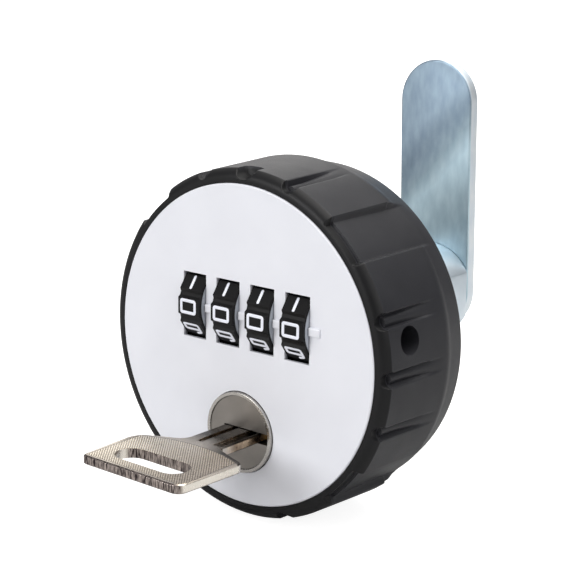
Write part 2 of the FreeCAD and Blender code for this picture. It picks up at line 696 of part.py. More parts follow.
def plug_lever():
    """Lever on the plug's boss whose nose swings up to lift the bolt."""
    disc_part = disc(LEVER_RADIUS, LEVER_FRONT, LEVER_REAR, 0, PLUG_Z)
    nose_x = LEVER_REACH - LEVER_NOSE
    nose = disc(LEVER_NOSE, LEVER_FRONT, LEVER_REAR, nose_x, PLUG_Z)
    arm = block(0, nose_x, LEVER_FRONT, LEVER_REAR, PLUG_Z - LEVER_NOSE, PLUG_Z + LEVER_NOSE)
    hole = plug_boss(PLUG_BOSS_RADIUS + RUN, PLUG_BOSS_FLAT + RUN, LEVER_FRONT - 1, LEVER_REAR + 1)
    return disc_part.fuse([nose, arm]).cut(hole).removeSplitter()


def plug_clip():
    """Spring clip in the boss's groove, open on one side, which keeps the lever on."""
    near = LEVER_REAR + FIT + RUN
    ring = disc(CLIP_RADIUS, near, near + CLIP_THICK, 0, PLUG_Z)
    hole = disc(PLUG_BOSS_FLAT + RUN, near - 1, near + CLIP_THICK + 1, 0, PLUG_Z)
    half = CLIP_MOUTH / 2
    mouth = block(-CLIP_RADIUS, 0, near - 1, near + CLIP_THICK + 1, PLUG_Z - half, PLUG_Z + half)
    return ring.cut([hole, mouth])


def key_corners():
    """(x, depth, rounding) of the key's corners seen from above, from the blade's tip round the bow."""
    left = BLADE_X - BLADE_WIDTH / 2
    right = BLADE_X + BLADE_WIDTH / 2
    shoulder = BOW_FRONT + BOW_LENGTH
    return (
        (left + BLADE_TIP, BLADE_INSERTED, 0),
        (right - BLADE_TIP, BLADE_INSERTED, 0),
        (right, BLADE_INSERTED - BLADE_TIP, 0),
        (right, NECK_DEPTH, RIGHT_NECK_RADIUS),
        (BOW_RIGHT, shoulder, RIGHT_SHOULDER_RADIUS),
        (BOW_RIGHT - BOW_TAPER, BOW_FRONT, RIGHT_CORNER_RADIUS),
        (BOW_LEFT + BOW_TAPER, BOW_FRONT, LEFT_CORNER_RADIUS),
        (BOW_LEFT, shoulder - LEFT_SHOULDER_DROP, LEFT_SHOULDER_RADIUS),
        (left, NECK_DEPTH, LEFT_NECK_RADIUS),
        (left, BLADE_INSERTED - BLADE_TIP, 0),
    )


def rounded(corners, z):
    """Closed flat wire at a height through (x, depth, rounding) corners, each rounded by its own arc."""
    count = len(corners)
    spots = [V(x, at(depth), z) for x, depth, rounding in corners]
    edges = []
    joint = None
    for n in range(count + 1):
        spot = spots[n % count]
        back = (spots[(n - 1) % count] - spot).normalize()
        on = (spots[(n + 1) % count] - spot).normalize()
        half_angle = back.getAngle(on) / 2
        rounding = corners[n % count][2]
        reach = rounding / math.tan(half_angle)
        before = spot + back * reach
        after = spot + on * reach
        if joint is not None:
            edges.append(Part.makeLine(joint, before))
        if rounding and n < count:
            inward = (back + on).normalize()
            middle = spot + inward * (rounding / math.sin(half_angle) - rounding)
            edges.append(Part.Arc(before, middle, after).toShape())
        joint = after
    return Part.Wire(edges)


def bow_slot():
    """Long hole of the bow for a key ring, with round ends."""
    reach = (SLOT_LENGTH - SLOT_HEIGHT) / 2
    half = SLOT_HEIGHT / 2
    left = SLOT_X - reach
    right = SLOT_X + reach
    middle = block(left, right, SLOT_CENTRE - half, SLOT_CENTRE + half, -KEY_THICK, KEY_THICK)
    ends = []
    for x in (left, right):
        place = V(x, at(SLOT_CENTRE), -KEY_THICK)
        ends.append(Part.makeCylinder(half, 2 * KEY_THICK, place, V(0, 0, 1)))
    return middle.fuse(ends)


def master_key():
    """Stamped key lying flat in the plug, with grooves along its blade and cuts on one edge."""
    half = KEY_THICK / 2
    key = Part.Face(rounded(key_corners(), -half)).extrude(V(0, 0, KEY_THICK))
    rims = [edge for edge in key.Edges if abs(edge.Vertexes[0].Z - edge.Vertexes[-1].Z) < 0.01]
    key = key.makeChamfer(KEY_EDGE, rims)
    cutters = [bow_slot()]
    end = BLADE_INSERTED + 1
    for place, width in BLADE_GROOVES:
        for side in (-1, 1):
            low = side * half - BLADE_GROOVE_DEPTH
            left = BLADE_X + side * place - width / 2
            high = low + 2 * BLADE_GROOVE_DEPTH
            cutters.append(block(left, left + width, BLADE_GROOVE_FRONT, end, low, high))
    for n, cut in enumerate(BITTING):
        cutters.append(bitting(WAFER_FIRST + n * WAFER_PITCH + WAFER_THICK / 2, cut))
    key = key.cut(cutters)
    key.translate(V(0, 0, PLUG_Z))
    return key


def bitting(depth, cut):
    """One V cut in the left edge of the blade, under a wafer."""
    edge = BLADE_X - BLADE_WIDTH / 2
    half = WAFER_PITCH / 2
    points = [V(edge - 1, at(depth - half), -KEY_THICK)]
    points.append(V(edge, at(depth - half), -KEY_THICK))
    points.append(V(edge + cut, at(depth - WAFER_THICK / 2), -KEY_THICK))
    points.append(V(edge + cut, at(depth + WAFER_THICK / 2), -KEY_THICK))
    points.append(V(edge, at(depth + half), -KEY_THICK))
    points.append(V(edge - 1, at(depth + half), -KEY_THICK))
    return Part.Face(Part.makePolygon(points + points[:1])).extrude(V(0, 0, 2 * KEY_THICK))


def locking_bolt():
    """Flat steel bolt behind the wheels: tongue up, leg down, and a fence tooth over each gate."""
    half = TONGUE_WIDTH / 2
    left = wheel_x(0) - WHEEL_WIDTH / 2 - COLLAR_WIDTH
    right = wheel_x(WHEELS - 1) - WHEEL_WIDTH / 2
    parts = [
        block(-half, half, BOLT_FRONT, BOLT_REAR, LEG_BOTTOM, TONGUE_TOP),
        block(-half, half, BOLT_REAR, BOLT_REAR + TAB_REACH, TONGUE_TOP - TAB_HEIGHT, TONGUE_TOP),
    ]
    bar = block(left, right, BOLT_FRONT, BOLT_REAR, BAR_LOW, BAR_HIGH)
    for n in range(WHEELS):
        middle = wheel_x(n) - WHEEL_WIDTH / 2 - COLLAR_WIDTH / 2
        near = AXLE_DEPTH - TOOTH_WIDTH / 2
        low_x = middle - FENCE_WIDTH / 2
        parts.append(block(low_x, low_x + FENCE_WIDTH, near, BOLT_FRONT, BAR_LOW, BAR_LOW + TOOTH_DROP))
        parts.append(block(low_x, low_x + FENCE_WIDTH, near, near + TOOTH_WIDTH, FENCE_LOW, BAR_LOW))
    return bar.fuse(parts).removeSplitter()


def bolt_spring():
    """Coil above the bolt's bar, which pushes it back down."""
    spring = coil(SPRING_RADIUS, SPRING_WIRE, SPRING_LENGTH - 2 * SPRING_WIRE, SPRING_TURNS)
    spring.translate(V(SPRING_X, at(BOLT_FRONT + BOLT_THICK / 2), BAR_HIGH + SPRING_WIRE))
    return spring


def detent_comb():
    """Bent spring-steel comb, one finger under each wheel with a rounded bump at its tip."""
    seat = POCKET_REAR - COMB_THICK
    left = wheel_x(0) - SLOT_LEFT + FIT
    right = wheel_x(WHEELS - 1) + SLOT_RIGHT - FIT
    low = COMB_TOP - COMB_BAR_HEIGHT
    bar = block(left, right, seat, POCKET_REAR, low, COMB_TOP)
    parts = []
    for n in range(WHEELS):
        finger_left = wheel_x(n) - COMB_FINGER_WIDTH / 2
        finger_right = finger_left + COMB_FINGER_WIDTH
        near = AXLE_DEPTH - COMB_BUMP_RADIUS - FIT
        parts.append(block(finger_left, finger_right, near, seat, COMB_TOP - COMB_THICK, COMB_TOP))
        bump_z = AXLE_Z - PAD_RADIUS - FIT - COMB_BUMP_RADIUS
        bump = rod(COMB_BUMP_RADIUS, finger_left, finger_right, AXLE_DEPTH, bump_z)
        parts.append(bump.common(block(finger_left, finger_right, near, seat, COMB_TOP - COMB_THICK, AXLE_Z)))
    middle = COMB_TOP - COMB_BAR_HEIGHT / 2
    holes = [
        disc(SCREW_RADIUS + RUN, seat - 1, POCKET_REAR + 1, side * COMB_SCREW_X, middle) for side in (-1, 1)
    ]
    return bar.fuse(parts).removeSplitter().cut(holes)


def comb_screws():
    """Two small cheese-head screws that hold the comb's bar."""
    middle = COMB_TOP - COMB_BAR_HEIGHT / 2
    head = COMB_BAR_HEIGHT / 2 - FIT
    screws = []
    for side in (-1, 1):
        x = side * COMB_SCREW_X
        shank = disc(SCREW_RADIUS, POCKET_REAR - COMB_THICK - COMB_SCREW_LENGTH, POCKET_REAR, x, middle)
        top = POCKET_REAR + SCREW_HEAD_DEPTH
        cap = disc(head, POCKET_REAR, top, x, middle)
        half = DRIVER_SLOT / 2
        slot = block(x - head, x + head, POCKET_REAR + CLEAR, top + 1, middle - half, middle + half)
        screws.append(shank.fuse(cap).removeSplitter().cut(slot))
    return Part.makeCompound(screws)


def base_plate():
    """Die-cast cup that is fixed to the door: rim with two bolt notches, and a recessed floor."""
    body = lathe(
        (
            (0, FLOOR_FRONT),
            (CUP_BORE, FLOOR_FRONT),
            (CUP_BORE, RIM_FRONT),
            (CUP_RADIUS, RIM_FRONT),
            (CUP_RADIUS, DOOR_DEPTH),
            (0, DOOR_DEPTH),
        )
    )
    half = TONGUE_WIDTH / 2 + CLEAR
    tab_rear = BOLT_REAR + TAB_REACH + CLEAR
    notch = block(-half, half, RIM_FRONT - 1, tab_rear, STOP_RADIUS, CUP_RADIUS + 1)
    cutters = [swing(notch, -angle) for angle in (0.0, TURN)]
    flange_front = DOOR_DEPTH - FLOOR_THICK
    cutters.append(disc(BARREL_FLANGE_RADIUS + FIT, flange_front - 1, flange_front + BARREL_FLANGE_THICK))
    cutters.append(barrel_bar(BARREL_RADIUS + RUN, BARREL_FLAT + RUN, flange_front - 1, DOOR_DEPTH + 1))
    for side in (-1, 1):
        cutters.append(disc(FIXING_HOLE_RADIUS, FLOOR_FRONT - 1, DOOR_DEPTH + 1, side * FIXING_SPACING / 2))
    cutters.append(disc(STOP_PIN_RADIUS, FLOOR_FRONT - 1, DOOR_DEPTH - CLEAR, -STOP_RADIUS))
    for angle in FLANGE_SCREW_ANGLES:
        x, z = polar(BARREL_SCREW_PLACE, angle)
        cutters.append(disc(SCREW_RADIUS, FLOOR_FRONT, DOOR_DEPTH - CLEAR, x, z))
    return body.cut(cutters)


def barrel_bar(radius, flat, near, far):
    """Round bar with a flat on each side, for the barrel and the hole that keeps it from turning."""
    bar = disc(radius, near, far)
    return bar.common(block(-flat, flat, near, far, -radius, radius))


def barrel():
    """Plated steel barrel through the door, flanged at the front and bored for the spindle."""
    front = DOOR_DEPTH - FLOOR_THICK
    flange = disc(BARREL_FLANGE_RADIUS, front, front + BARREL_FLANGE_THICK)
    tube = barrel_bar(BARREL_RADIUS, BARREL_FLAT, front, DOOR_DEPTH + BARREL_LENGTH)
    cutters = [disc(SPINDLE_RADIUS + RUN, front - 1, DOOR_DEPTH + BARREL_LENGTH + 1)]
    for angle in FLANGE_SCREW_ANGLES:
        x, z = polar(BARREL_SCREW_PLACE, angle)
        cutters.append(countersunk(x, z, front, front + BARREL_FLANGE_THICK + 1))
    return flange.fuse(tube).cut(cutters)


def spindle():
    """Turned shaft: flange screwed to the hub plate, bearing in the barrel, square end for the cam."""
    front = HUB_REAR - SPINDLE_FLANGE_THICK
    flange = disc(SPINDLE_FLANGE_RADIUS, front, HUB_REAR)
    shaft = disc(SPINDLE_RADIUS, front, DOOR_DEPTH + SHOULDER_Y)
    half = SPINDLE_SQUARE / 2
    square = block(-half, half, DOOR_DEPTH + SHOULDER_Y, DOOR_DEPTH + CAM_REAR - FIT, -half, half)
    square = swing(square, CAM_LEAN)
    bottom = DOOR_DEPTH + WASHER_REAR - CAM_SCREW_LENGTH - CLEAR
    cutters = [disc(CAM_SCREW_RADIUS, bottom, DOOR_DEPTH + CAM_REAR)]
    for angle in FLANGE_SCREW_ANGLES:
        x, z = polar(SPINDLE_SCREW_PLACE, angle)
        cutters.append(countersunk(x, z, HUB_REAR, front - 1))
    return flange.fuse([shaft, square]).cut(cutters)


def cam_arm():
    """Flat plated bar with round ends and softened edges, square-holed for the spindle.

    Like the square it sits on, it leans a little to the left of upright.
    """
    half = CAM_WIDTH / 2
    near = DOOR_DEPTH + SHOULDER_Y
    far = DOOR_DEPTH + CAM_REAR
    top = CAM_TIP - half
    bar = block(-half, half, near, far, 0, top).fuse([disc(half, near, far), disc(half, near, far, 0, top)])
    bar = bar.removeSplitter()
    rims = [
        edge
        for edge in bar.Edges
        if abs(edge.Vertexes[0].Y - edge.Vertexes[-1].Y) < 0.01
    ]
    bar = bar.makeFillet(CAM_EDGE, rims)
    hole = SPINDLE_SQUARE / 2 + RUN
    return swing(bar.cut(block(-hole, hole, near - 1, far + 1, -hole, hole)), CAM_LEAN)


def cam_washer():
    """Split spring washer under the cam screw."""
    near = DOOR_DEPTH + CAM_REAR
    far = DOOR_DEPTH + WASHER_REAR
    ring = disc(WASHER_RADIUS, near, far)
    hole = disc(CAM_SCREW_RADIUS + FIT, near - 1, far + 1)
    split = block(0, WASHER_RADIUS + 1, near - 1, far + 1, -WASHER_SPLIT / 2, WASHER_SPLIT / 2)
    return ring.cut([hole, split])


def cam_screw():
    """Socket-head screw that holds the cam bar on the spindle."""
    seat = DOOR_DEPTH + WASHER_REAR
    top = seat + CAM_HEAD_HEIGHT
    shank = disc(CAM_SCREW_RADIUS, seat - CAM_SCREW_LENGTH, seat)
    head = disc(CAM_HEAD_RADIUS, seat, top)
    rim = [e for e in head.Edges if len(e.Vertexes) == 1 and abs(e.Vertexes[0].Y - at(top)) < 0.01]
    head = head.makeFillet(CAM_EDGE, rim)
    corner = CAM_HEX / math.sqrt(3)
    hexagon = [polar(corner, side * 60.0) for side in range(6)]
    socket = plate(hexagon, at(top - CAM_HEX_DEPTH), CAM_HEX_DEPTH + 1)
    return shank.fuse(head).cut(socket)


def barrel_screws():
    """Screws that hold the barrel's flange in the floor of the base."""
    front = DOOR_DEPTH - FLOOR_THICK
    places = [polar(BARREL_SCREW_PLACE, angle) for angle in FLANGE_SCREW_ANGLES]
    return Part.makeCompound([countersunk(x, z, front, DOOR_DEPTH - CLEAR) for x, z in places])


def stop_pin():
    """Pin in the base's floor that ends the knob's turn in both directions."""
    return disc(STOP_PIN_RADIUS, HUB_REAR - STOP_REACH + CLEAR, DOOR_DEPTH - CLEAR, -STOP_RADIUS)


def ring_screws():
    """Screws from the back of the housing into the ring's flange."""
    screws = []
    for angle in RING_SCREW_ANGLES:
        x, z = polar(RING_SCREW_PLACE, angle)
        seat = HOUSING_REAR - SCREW_HEAD_DEPTH
        shank = disc(SCREW_RADIUS, FACE_THICK + RING_SCREW_SKIN + CLEAR, seat, x, z)
        screws.append(shank.fuse(disc(RING_SCREW_HEAD, seat, HOUSING_REAR, x, z)).removeSplitter())
    return Part.makeCompound(screws)


def hub_screws():
    """Screws that hold the hub plate on the housing."""
    places = [polar(HUB_SCREW_PLACE, angle) for angle in HUB_SCREW_ANGLES]
    return Part.makeCompound([countersunk(x, z, HUB_REAR, HUB_REAR - SCREW_LENGTH) for x, z in places])


def spindle_screws():
    """Screws that hold the spindle's flange in the hub plate."""
    places = [polar(SPINDLE_SCREW_PLACE, angle) for angle in FLANGE_SCREW_ANGLES]
    tip = HUB_REAR - SCREW_LENGTH + CLEAR
    return Part.makeCompound([countersunk(x, z, HUB_REAR, tip) for x, z in places])


NODES = {
    "base_plate": base_plate,
    "barrel": barrel,
    "barrel_screws": barrel_screws,
    "stop_pin": stop_pin,
    "grip_ring": grip_ring,
    "faceplate": faceplate,
    "wheel_housing": wheel_housing,
    "hub_plate": hub_plate,
    "ring_screws": ring_screws,
    "hub_screws": hub_screws,
    "spindle": spindle,
    "spindle_screws": spindle_screws,
    "cam_arm": cam_arm,
    "cam_washer": cam_washer,
    "cam_screw": cam_screw,
    "plug_sleeve": plug_sleeve,
    "key_plug": key_plug,
    "wafers": wafers,
    "plug_lever": plug_lever,
    "plug_clip": plug_clip,
    "master_key": master_key,
    "wheel_axle": wheel_axle,
    "reset_button": reset_button,
    "reset_spring": reset_spring,
    "locking_bolt": locking_bolt,
    "bolt_spring": bolt_spring,
    "detent_comb": detent_comb,
    "comb_screws": comb_screws,
}

os.makedirs("parts", exist_ok=True)
for name, make in NODES.items():
    make().exportStep("parts/" + name + ".step")
for n in range(WHEELS):
    number_ring(n).exportStep("parts/number_ring_" + str(n + 1) + ".step")
    code_disc(n).exportStep("parts/code_disc_" + str(n + 1) + ".step")
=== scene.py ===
import math

import bmesh
import bpy
import numpy as np
from mathutils import Matrix, Vector


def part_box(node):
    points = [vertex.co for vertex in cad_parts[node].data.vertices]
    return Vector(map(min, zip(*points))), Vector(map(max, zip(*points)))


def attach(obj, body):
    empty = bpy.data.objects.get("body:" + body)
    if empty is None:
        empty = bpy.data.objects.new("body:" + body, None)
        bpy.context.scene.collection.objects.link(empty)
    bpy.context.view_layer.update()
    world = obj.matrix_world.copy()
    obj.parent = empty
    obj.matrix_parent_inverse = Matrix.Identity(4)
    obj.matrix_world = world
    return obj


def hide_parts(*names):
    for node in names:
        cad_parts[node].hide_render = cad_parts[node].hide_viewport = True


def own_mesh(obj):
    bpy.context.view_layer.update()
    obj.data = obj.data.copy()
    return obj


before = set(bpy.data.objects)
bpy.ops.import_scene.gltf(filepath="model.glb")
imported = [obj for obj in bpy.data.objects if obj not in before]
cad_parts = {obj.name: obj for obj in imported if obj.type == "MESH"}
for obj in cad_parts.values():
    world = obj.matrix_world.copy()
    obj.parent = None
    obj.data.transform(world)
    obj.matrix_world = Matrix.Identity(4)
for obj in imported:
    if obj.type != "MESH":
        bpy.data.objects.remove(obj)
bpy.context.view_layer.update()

# Camera and light
# The view is the photograph's: a long lens from the front right, a little above the knob.
# Soft lamps and a pale room light the lock, and the paper under it is plain.
FACE_Y = -0.0221
FACE_RADIUS = 0.026
CAMERA_AZIMUTH = 39.2475
CAMERA_ELEVATION = 13.7878
CAMERA_ROLL = 0.847
CAMERA_DISTANCE = 9.0925 * FACE_RADIUS
CAMERA_RIGHT = 0.2883 * FACE_RADIUS
CAMERA_UP = 0.3582 * FACE_RADIUS
CAMERA_LENS = 93.9
FLOOR_Z = -0.0288
PAPER_HALF = 3.0
PAPER_GREY = 0.5
PAPER_GLOW = 0.86
SKY_HEIGHTS = (-0.2, 1.0)
SKY_LOW = (0.20, 0.20, 0.21)
SKY_HIGH = (0.95, 0.95, 0.95)
SKY_STRENGTH = 0.55
WARM = (1.0, 0.98, 0.95)
WHITE = (1.0, 1.0, 1.0)
# Name, place and size in metres, watts and colour of each lamp.
LAMPS = (
    ("lamp_top", (0.15, 0.10, 0.75), 0.8, 8.2, WARM),
    ("lamp_left", (-0.30, -0.85, 0.35), 0.5, 5.2, WHITE),
    ("lamp_back", (-0.55, 0.62, 0.42), 0.6, 1.7, WARM),
    ("lamp_right", (0.85, -0.10, 0.40), 0.5, 2.2, WHITE),
)


def studio_camera():
    """Camera on the line of sight to the middle of the face, shifted sideways and up, then rolled."""
    a, e = math.radians(CAMERA_AZIMUTH), math.radians(CAMERA_ELEVATION)
    back = Vector((math.sin(a) * math.cos(e), -math.cos(a) * math.cos(e), math.sin(e)))
    level = Vector((math.cos(a), math.sin(a), 0))
    rise = back.cross(level)
    r = math.radians(CAMERA_ROLL)
    right = math.cos(r) * level + math.sin(r) * rise
    up = -math.sin(r) * level + math.cos(r) * rise
    place = Vector((0, FACE_Y, 0)) + back * CAMERA_DISTANCE + right * CAMERA_RIGHT + up * CAMERA_UP
    data = bpy.data.cameras.new("camera")
    data.lens = CAMERA_LENS
    data.sensor_width = 36
    data.clip_start = 0.01
    camera = bpy.data.objects.new("camera", data)
    turn = Matrix((right, up, back)).transposed()
    camera.matrix_world = Matrix.Translation(place) @ turn.to_4x4()
    bpy.context.scene.collection.objects.link(camera)
    bpy.context.scene.camera = camera


def lamp(name, place, size, watts, color):
    """Square soft box at a place, turned towards the lock."""
    data = bpy.data.lights.new(name, "AREA")
    data.shape = "SQUARE"
    data.size = size
    data.energy = watts
    data.color = color
    light = bpy.data.objects.new(name, data)
    light.location = place
    light.rotation_euler = (-Vector(place)).to_track_quat("-Z", "Y").to_euler()
    bpy.context.scene.collection.objects.link(light)


def room():
    """World that lights the lock softly, brighter above than below, and shows white to the camera."""
    world = bpy.data.worlds.new("room")
    bpy.context.scene.world = world
    world.use_nodes = True
    tree = world.node_tree
    tree.nodes.clear()
    where = tree.nodes.new("ShaderNodeTexCoord")
    split = tree.nodes.new("ShaderNodeSeparateXYZ")
    height = tree.nodes.new("ShaderNodeMapRange")
    height.inputs["From Min"].default_value = SKY_HEIGHTS[0]
    height.inputs["From Max"].default_value = SKY_HEIGHTS[1]
    shade = tree.nodes.new("ShaderNodeValToRGB")
    shade.color_ramp.elements[0].color = (*SKY_LOW, 1)
    shade.color_ramp.elements[1].color = (*SKY_HIGH, 1)
    soft = tree.nodes.new("ShaderNodeBackground")
    soft.inputs["Strength"].default_value = SKY_STRENGTH
    white = tree.nodes.new("ShaderNodeBackground")
    path = tree.nodes.new("ShaderNodeLightPath")
    white.inputs["Color"].default_value = (1, 1, 1, 1)
    mix = tree.nodes.new("ShaderNodeMixShader")
    out = tree.nodes.new("ShaderNodeOutputWorld")
    link = tree.links.new
    link(where.outputs["Generated"], split.inputs[0])
    link(split.outputs["Z"], height.inputs["Value"])
    link(height.outputs["Result"], shade.inputs["Fac"])
    link(shade.outputs["Color"], soft.inputs["Color"])
    link(path.outputs["Is Camera Ray"], mix.inputs["Fac"])
    link(soft.outputs[0], mix.inputs[1])
    link(white.outputs[0], mix.inputs[2])
    link(mix.outputs[0], out.inputs["Surface"])


def paper():
    """Plain white sheet under the lock: it glows white to the camera and still takes the shadow."""
    mesh = bpy.data.meshes.new("paper")
    corners = [(x * PAPER_HALF, y * PAPER_HALF, FLOOR_Z) for x, y in ((-1, -1), (1, -1), (1, 1), (-1, 1))]
    mesh.from_pydata(corners, [], [(0, 1, 2, 3)])
    floor = bpy.data.objects.new("paper", mesh)
    bpy.context.scene.collection.objects.link(floor)
    material = bpy.data.materials.new("paper_white")
    material.use_nodes = True
    tree = material.node_tree
    shader = tree.nodes["Principled BSDF"]
    shader.inputs["Base Color"].default_value = (PAPER_GREY, PAPER_GREY, PAPER_GREY, 1)
    shader.inputs["Roughness"].default_value = 0.9
    shader.inputs["Specular IOR Level"].default_value = 0.0
    glow = tree.nodes.new("ShaderNodeEmission")
    path = tree.nodes.new("ShaderNodeLightPath")
    lift = tree.nodes.new("ShaderNodeMath")
    lift.operation = "MULTIPLY"
    lift.inputs[1].default_value = PAPER_GLOW
    both = tree.nodes.new("ShaderNodeAddShader")
    link = tree.links.new
    link(path.outputs["Is Camera Ray"], lift.inputs[0])
    link(lift.outputs[0], glow.inputs["Strength"])
    link(shader.outputs[0], both.inputs[0])
    link(glow.outputs[0], both.inputs[1])
    link(both.outputs[0], tree.nodes["Material Output"].inputs["Surface"])
    mesh.materials.append(material)


studio_camera()
for name, place, size, watts, color in LAMPS:
    lamp(name, place, size, watts, color)
room()
paper()
bpy.context.scene.view_settings.view_transform = "Standard"

# Grip ring
# A black moulded ring with finger grooves, wide hollows between them and a plain rear band.
# Its skin is finely textured, and its edges are softly rounded by the mould.
MM = 0.001
MERGE_DISTANCE = 2e-7
FLAT_DEGREES = 0.4
RING_TURNS = 1200
# Millimetres and degrees. A pair of the outline is a radius and a depth behind the face.
LIP = (26.4, 0.15)
BEZEL = (28.25, 1.5)
BEZEL_CURVE = 0.4
PAD_REAR = (28.8, 15.0)
STEP_START = 15.2
STEP_END = 17.6
LEDGE_DROP = 0.35
LEDGE = (14.9, 15.15)
BAND_FRONT = (28.0, 17.4)
RING_REAR = (27.05, 21.7)
SEAT_RADIUS = 26.05
SEAT_DEPTH = 1.5
FLANGE_BORE = 21.5
FLANGE_REAR = 3.7
RING_BORE = 24.5
GROOVE_ANGLES = (-18.0, 0.0, 18.0, 72.0, 108.0, 162.0, 180.0, 198.0, 252.0, 270.0, 288.0)
GROOVE_FLAT = 0.85
GROOVE_HALF = 1.25
GROOVE_DROP = 0.95
GROOVE_BULGE = 0.45
GROOVE_FADE = (5.0, 14.0)
MOUTH_FLOOR = 26.95
MOUTH_END = 1.75
MOUTH_SOFT = 0.1
RECESS_ANGLES = (45.5, 134.0, 225.0, -42.5)
RECESS_HALF = 8.8
RECESS_WALL = 0.6
RECESS_FLOOR = (27.4, 27.6)
RECESS_REAR = 17.0
CLOSED_ANGLES = (162.0, 180.0, 198.0, 225.0, 252.0, 270.0)
CLOSED_START = (2.2, 3.2)
THUMB_ANGLE = 90.0
THUMB_HALF = 1.9
THUMB_FLOOR = 26.6
THUMB_END = (3.0, 3.5)
# Painted shade in the thumb notch: the radii and depths where it fades out, and the width of its soft sides.
THUMB_PAINTED_SHADE = (27.8, 28.1)
THUMB_SOFT = 0.3
THUMB_PAINTED_SHADE_END = (1.9, 2.0)
# Radius, depth and height of the button's hole, and how far out it is drilled.
SIDE_HOLE = (2.2, 6.15, 5.12)
SIDE_HOLE_REACH = (20.0, 32.0)
SCREW_HOLE = 0.8
SCREW_CIRCLE = 22.85
SCREW_ANGLES = (60.0, 120.0, 240.0, 300.0)
SCREW_SKIN = 0.5
RING_SHARP = 35.0
RIM_BLEND = 0.1


def finish_nodes(name):
    """A new material with its node tree and Principled shader."""
    material = bpy.data.materials.new(name)
    material.use_nodes = True
    tree = material.node_tree
    return material, tree, tree.nodes["Principled BSDF"]


def noise(tree, scale, detail=3.0, stretch=(1, 1, 1)):
    """Noise texture on the piece's own coordinates, closer or wider along each axis."""
    where = tree.nodes.new("ShaderNodeTexCoord")
    mapping = tree.nodes.new("ShaderNodeMapping")
    mapping.inputs["Scale"].default_value = stretch
    texture = tree.nodes.new("ShaderNodeTexNoise")
    texture.inputs["Scale"].default_value = scale
    texture.inputs["Detail"].default_value = detail
    tree.links.new(where.outputs["Object"], mapping.inputs["Vector"])
    tree.links.new(mapping.outputs[0], texture.inputs["Vector"])
    return texture.outputs["Fac"]


def spot(tree):
    """X, Y and Z of the shaded point in the piece's own coordinates."""
    where = tree.nodes.new("ShaderNodeTexCoord")
    split = tree.nodes.new("ShaderNodeSeparateXYZ")
    tree.links.new(where.outputs["Object"], split.inputs[0])
    return split.outputs


def facing(tree):
    """X, Y and Z of the direction that the surface faces, each without its sign."""
    geometry = tree.nodes.new("ShaderNodeNewGeometry")
    split = tree.nodes.new("ShaderNodeSeparateXYZ")
    tree.links.new(geometry.outputs["True Normal"], split.inputs[0])
    return [number(tree, "ABSOLUTE", value) for value in split.outputs]


def ramp(tree, value, low, high, start=0.3, end=0.7):
    """Colour that runs from low to high as the value runs from start to end."""
    node = tree.nodes.new("ShaderNodeValToRGB")
    node.color_ramp.elements[0].position = start
    node.color_ramp.elements[0].color = (*low, 1)
    node.color_ramp.elements[1].position = end
    node.color_ramp.elements[1].color = (*high, 1)
    tree.links.new(value, node.inputs["Fac"])
    return node.outputs["Color"]


def scaled(tree, value, low, high, start=0.0, end=1.0):
    """The value brought from the range between start and end to the range from low to high."""
    node = tree.nodes.new("ShaderNodeMapRange")
    node.inputs["From Min"].default_value = start
    node.inputs["From Max"].default_value = end
    node.inputs["To Min"].default_value = low
    node.inputs["To Max"].default_value = high
    tree.links.new(value, node.inputs["Value"])
    return node.outputs["Result"]


def bump(tree, shader, height, depth):
    """Fine relief of that depth in metres from a height between 0 and 1."""
    node = tree.nodes.new("ShaderNodeBump")
    node.inputs["Distance"].default_value = depth
    tree.links.new(height, node.inputs["Height"])
    tree.links.new(node.outputs["Normal"], shader.inputs["Normal"])


def plastic(name, dark, light, rough=(0.4, 0.5), grain=9000.0, depth=1.5e-5, gloss=0.5):
    """Moulded plastic: a faintly clouded colour over a fine sparked skin."""
    material, tree, shader = finish_nodes(name)
    cloud = noise(tree, 120.0)
    tree.links.new(ramp(tree, cloud, dark, light), shader.inputs["Base Color"])
    tree.links.new(scaled(tree, noise(tree, 300.0), *rough), shader.inputs["Roughness"])
    shader.inputs["Specular IOR Level"].default_value = gloss
    bump(tree, shader, noise(tree, grain, 1.0), depth)
    return material


def outward(points, faces):
    """The faces, turned over if the volume they enclose comes out negative."""
    a, b, c, d = (points[faces[:, n]] for n in range(4))
    volume = (np.cross(b - a, c - a) * a).sum() + (np.cross(c - a, d - a) * a).sum()
    return faces if volume > 0 else faces[:, ::-1]


def new_piece(name, points, faces, material, body):
    """Object made of the points and faces, in a finish, riding on a body."""
    mesh = bpy.data.meshes.new(name)
    mesh.from_pydata(points.tolist(), [], faces.tolist())
    mesh.materials.append(material)
    mesh.shade_smooth()
    piece = bpy.data.objects.new(name, mesh)
    bpy.context.scene.collection.objects.link(piece)
    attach(piece, body)
    return piece


def number(tree, work, first, second=None):
    """Result of one sum on two values, each a node's output or a plain number."""
    node = tree.nodes.new("ShaderNodeMath")
    node.operation = work
    for place, value in enumerate((first, second)):
        if value is None:
            continue
        if isinstance(value, (int, float)):
            node.inputs[place].default_value = value
        else:
            tree.links.new(value, node.inputs[place])
    return node.outputs[0]


def blend(tree, share, first, second):
    """Colour that goes from the first to the second as the share goes from 0 to 1."""
    node = tree.nodes.new("ShaderNodeMix")
    node.data_type = "RGBA"
    tree.links.new(share, node.inputs["Factor"])
    tree.links.new(first, node.inputs["A"])
    tree.links.new(second, node.inputs["B"])
    return node.outputs["Result"]


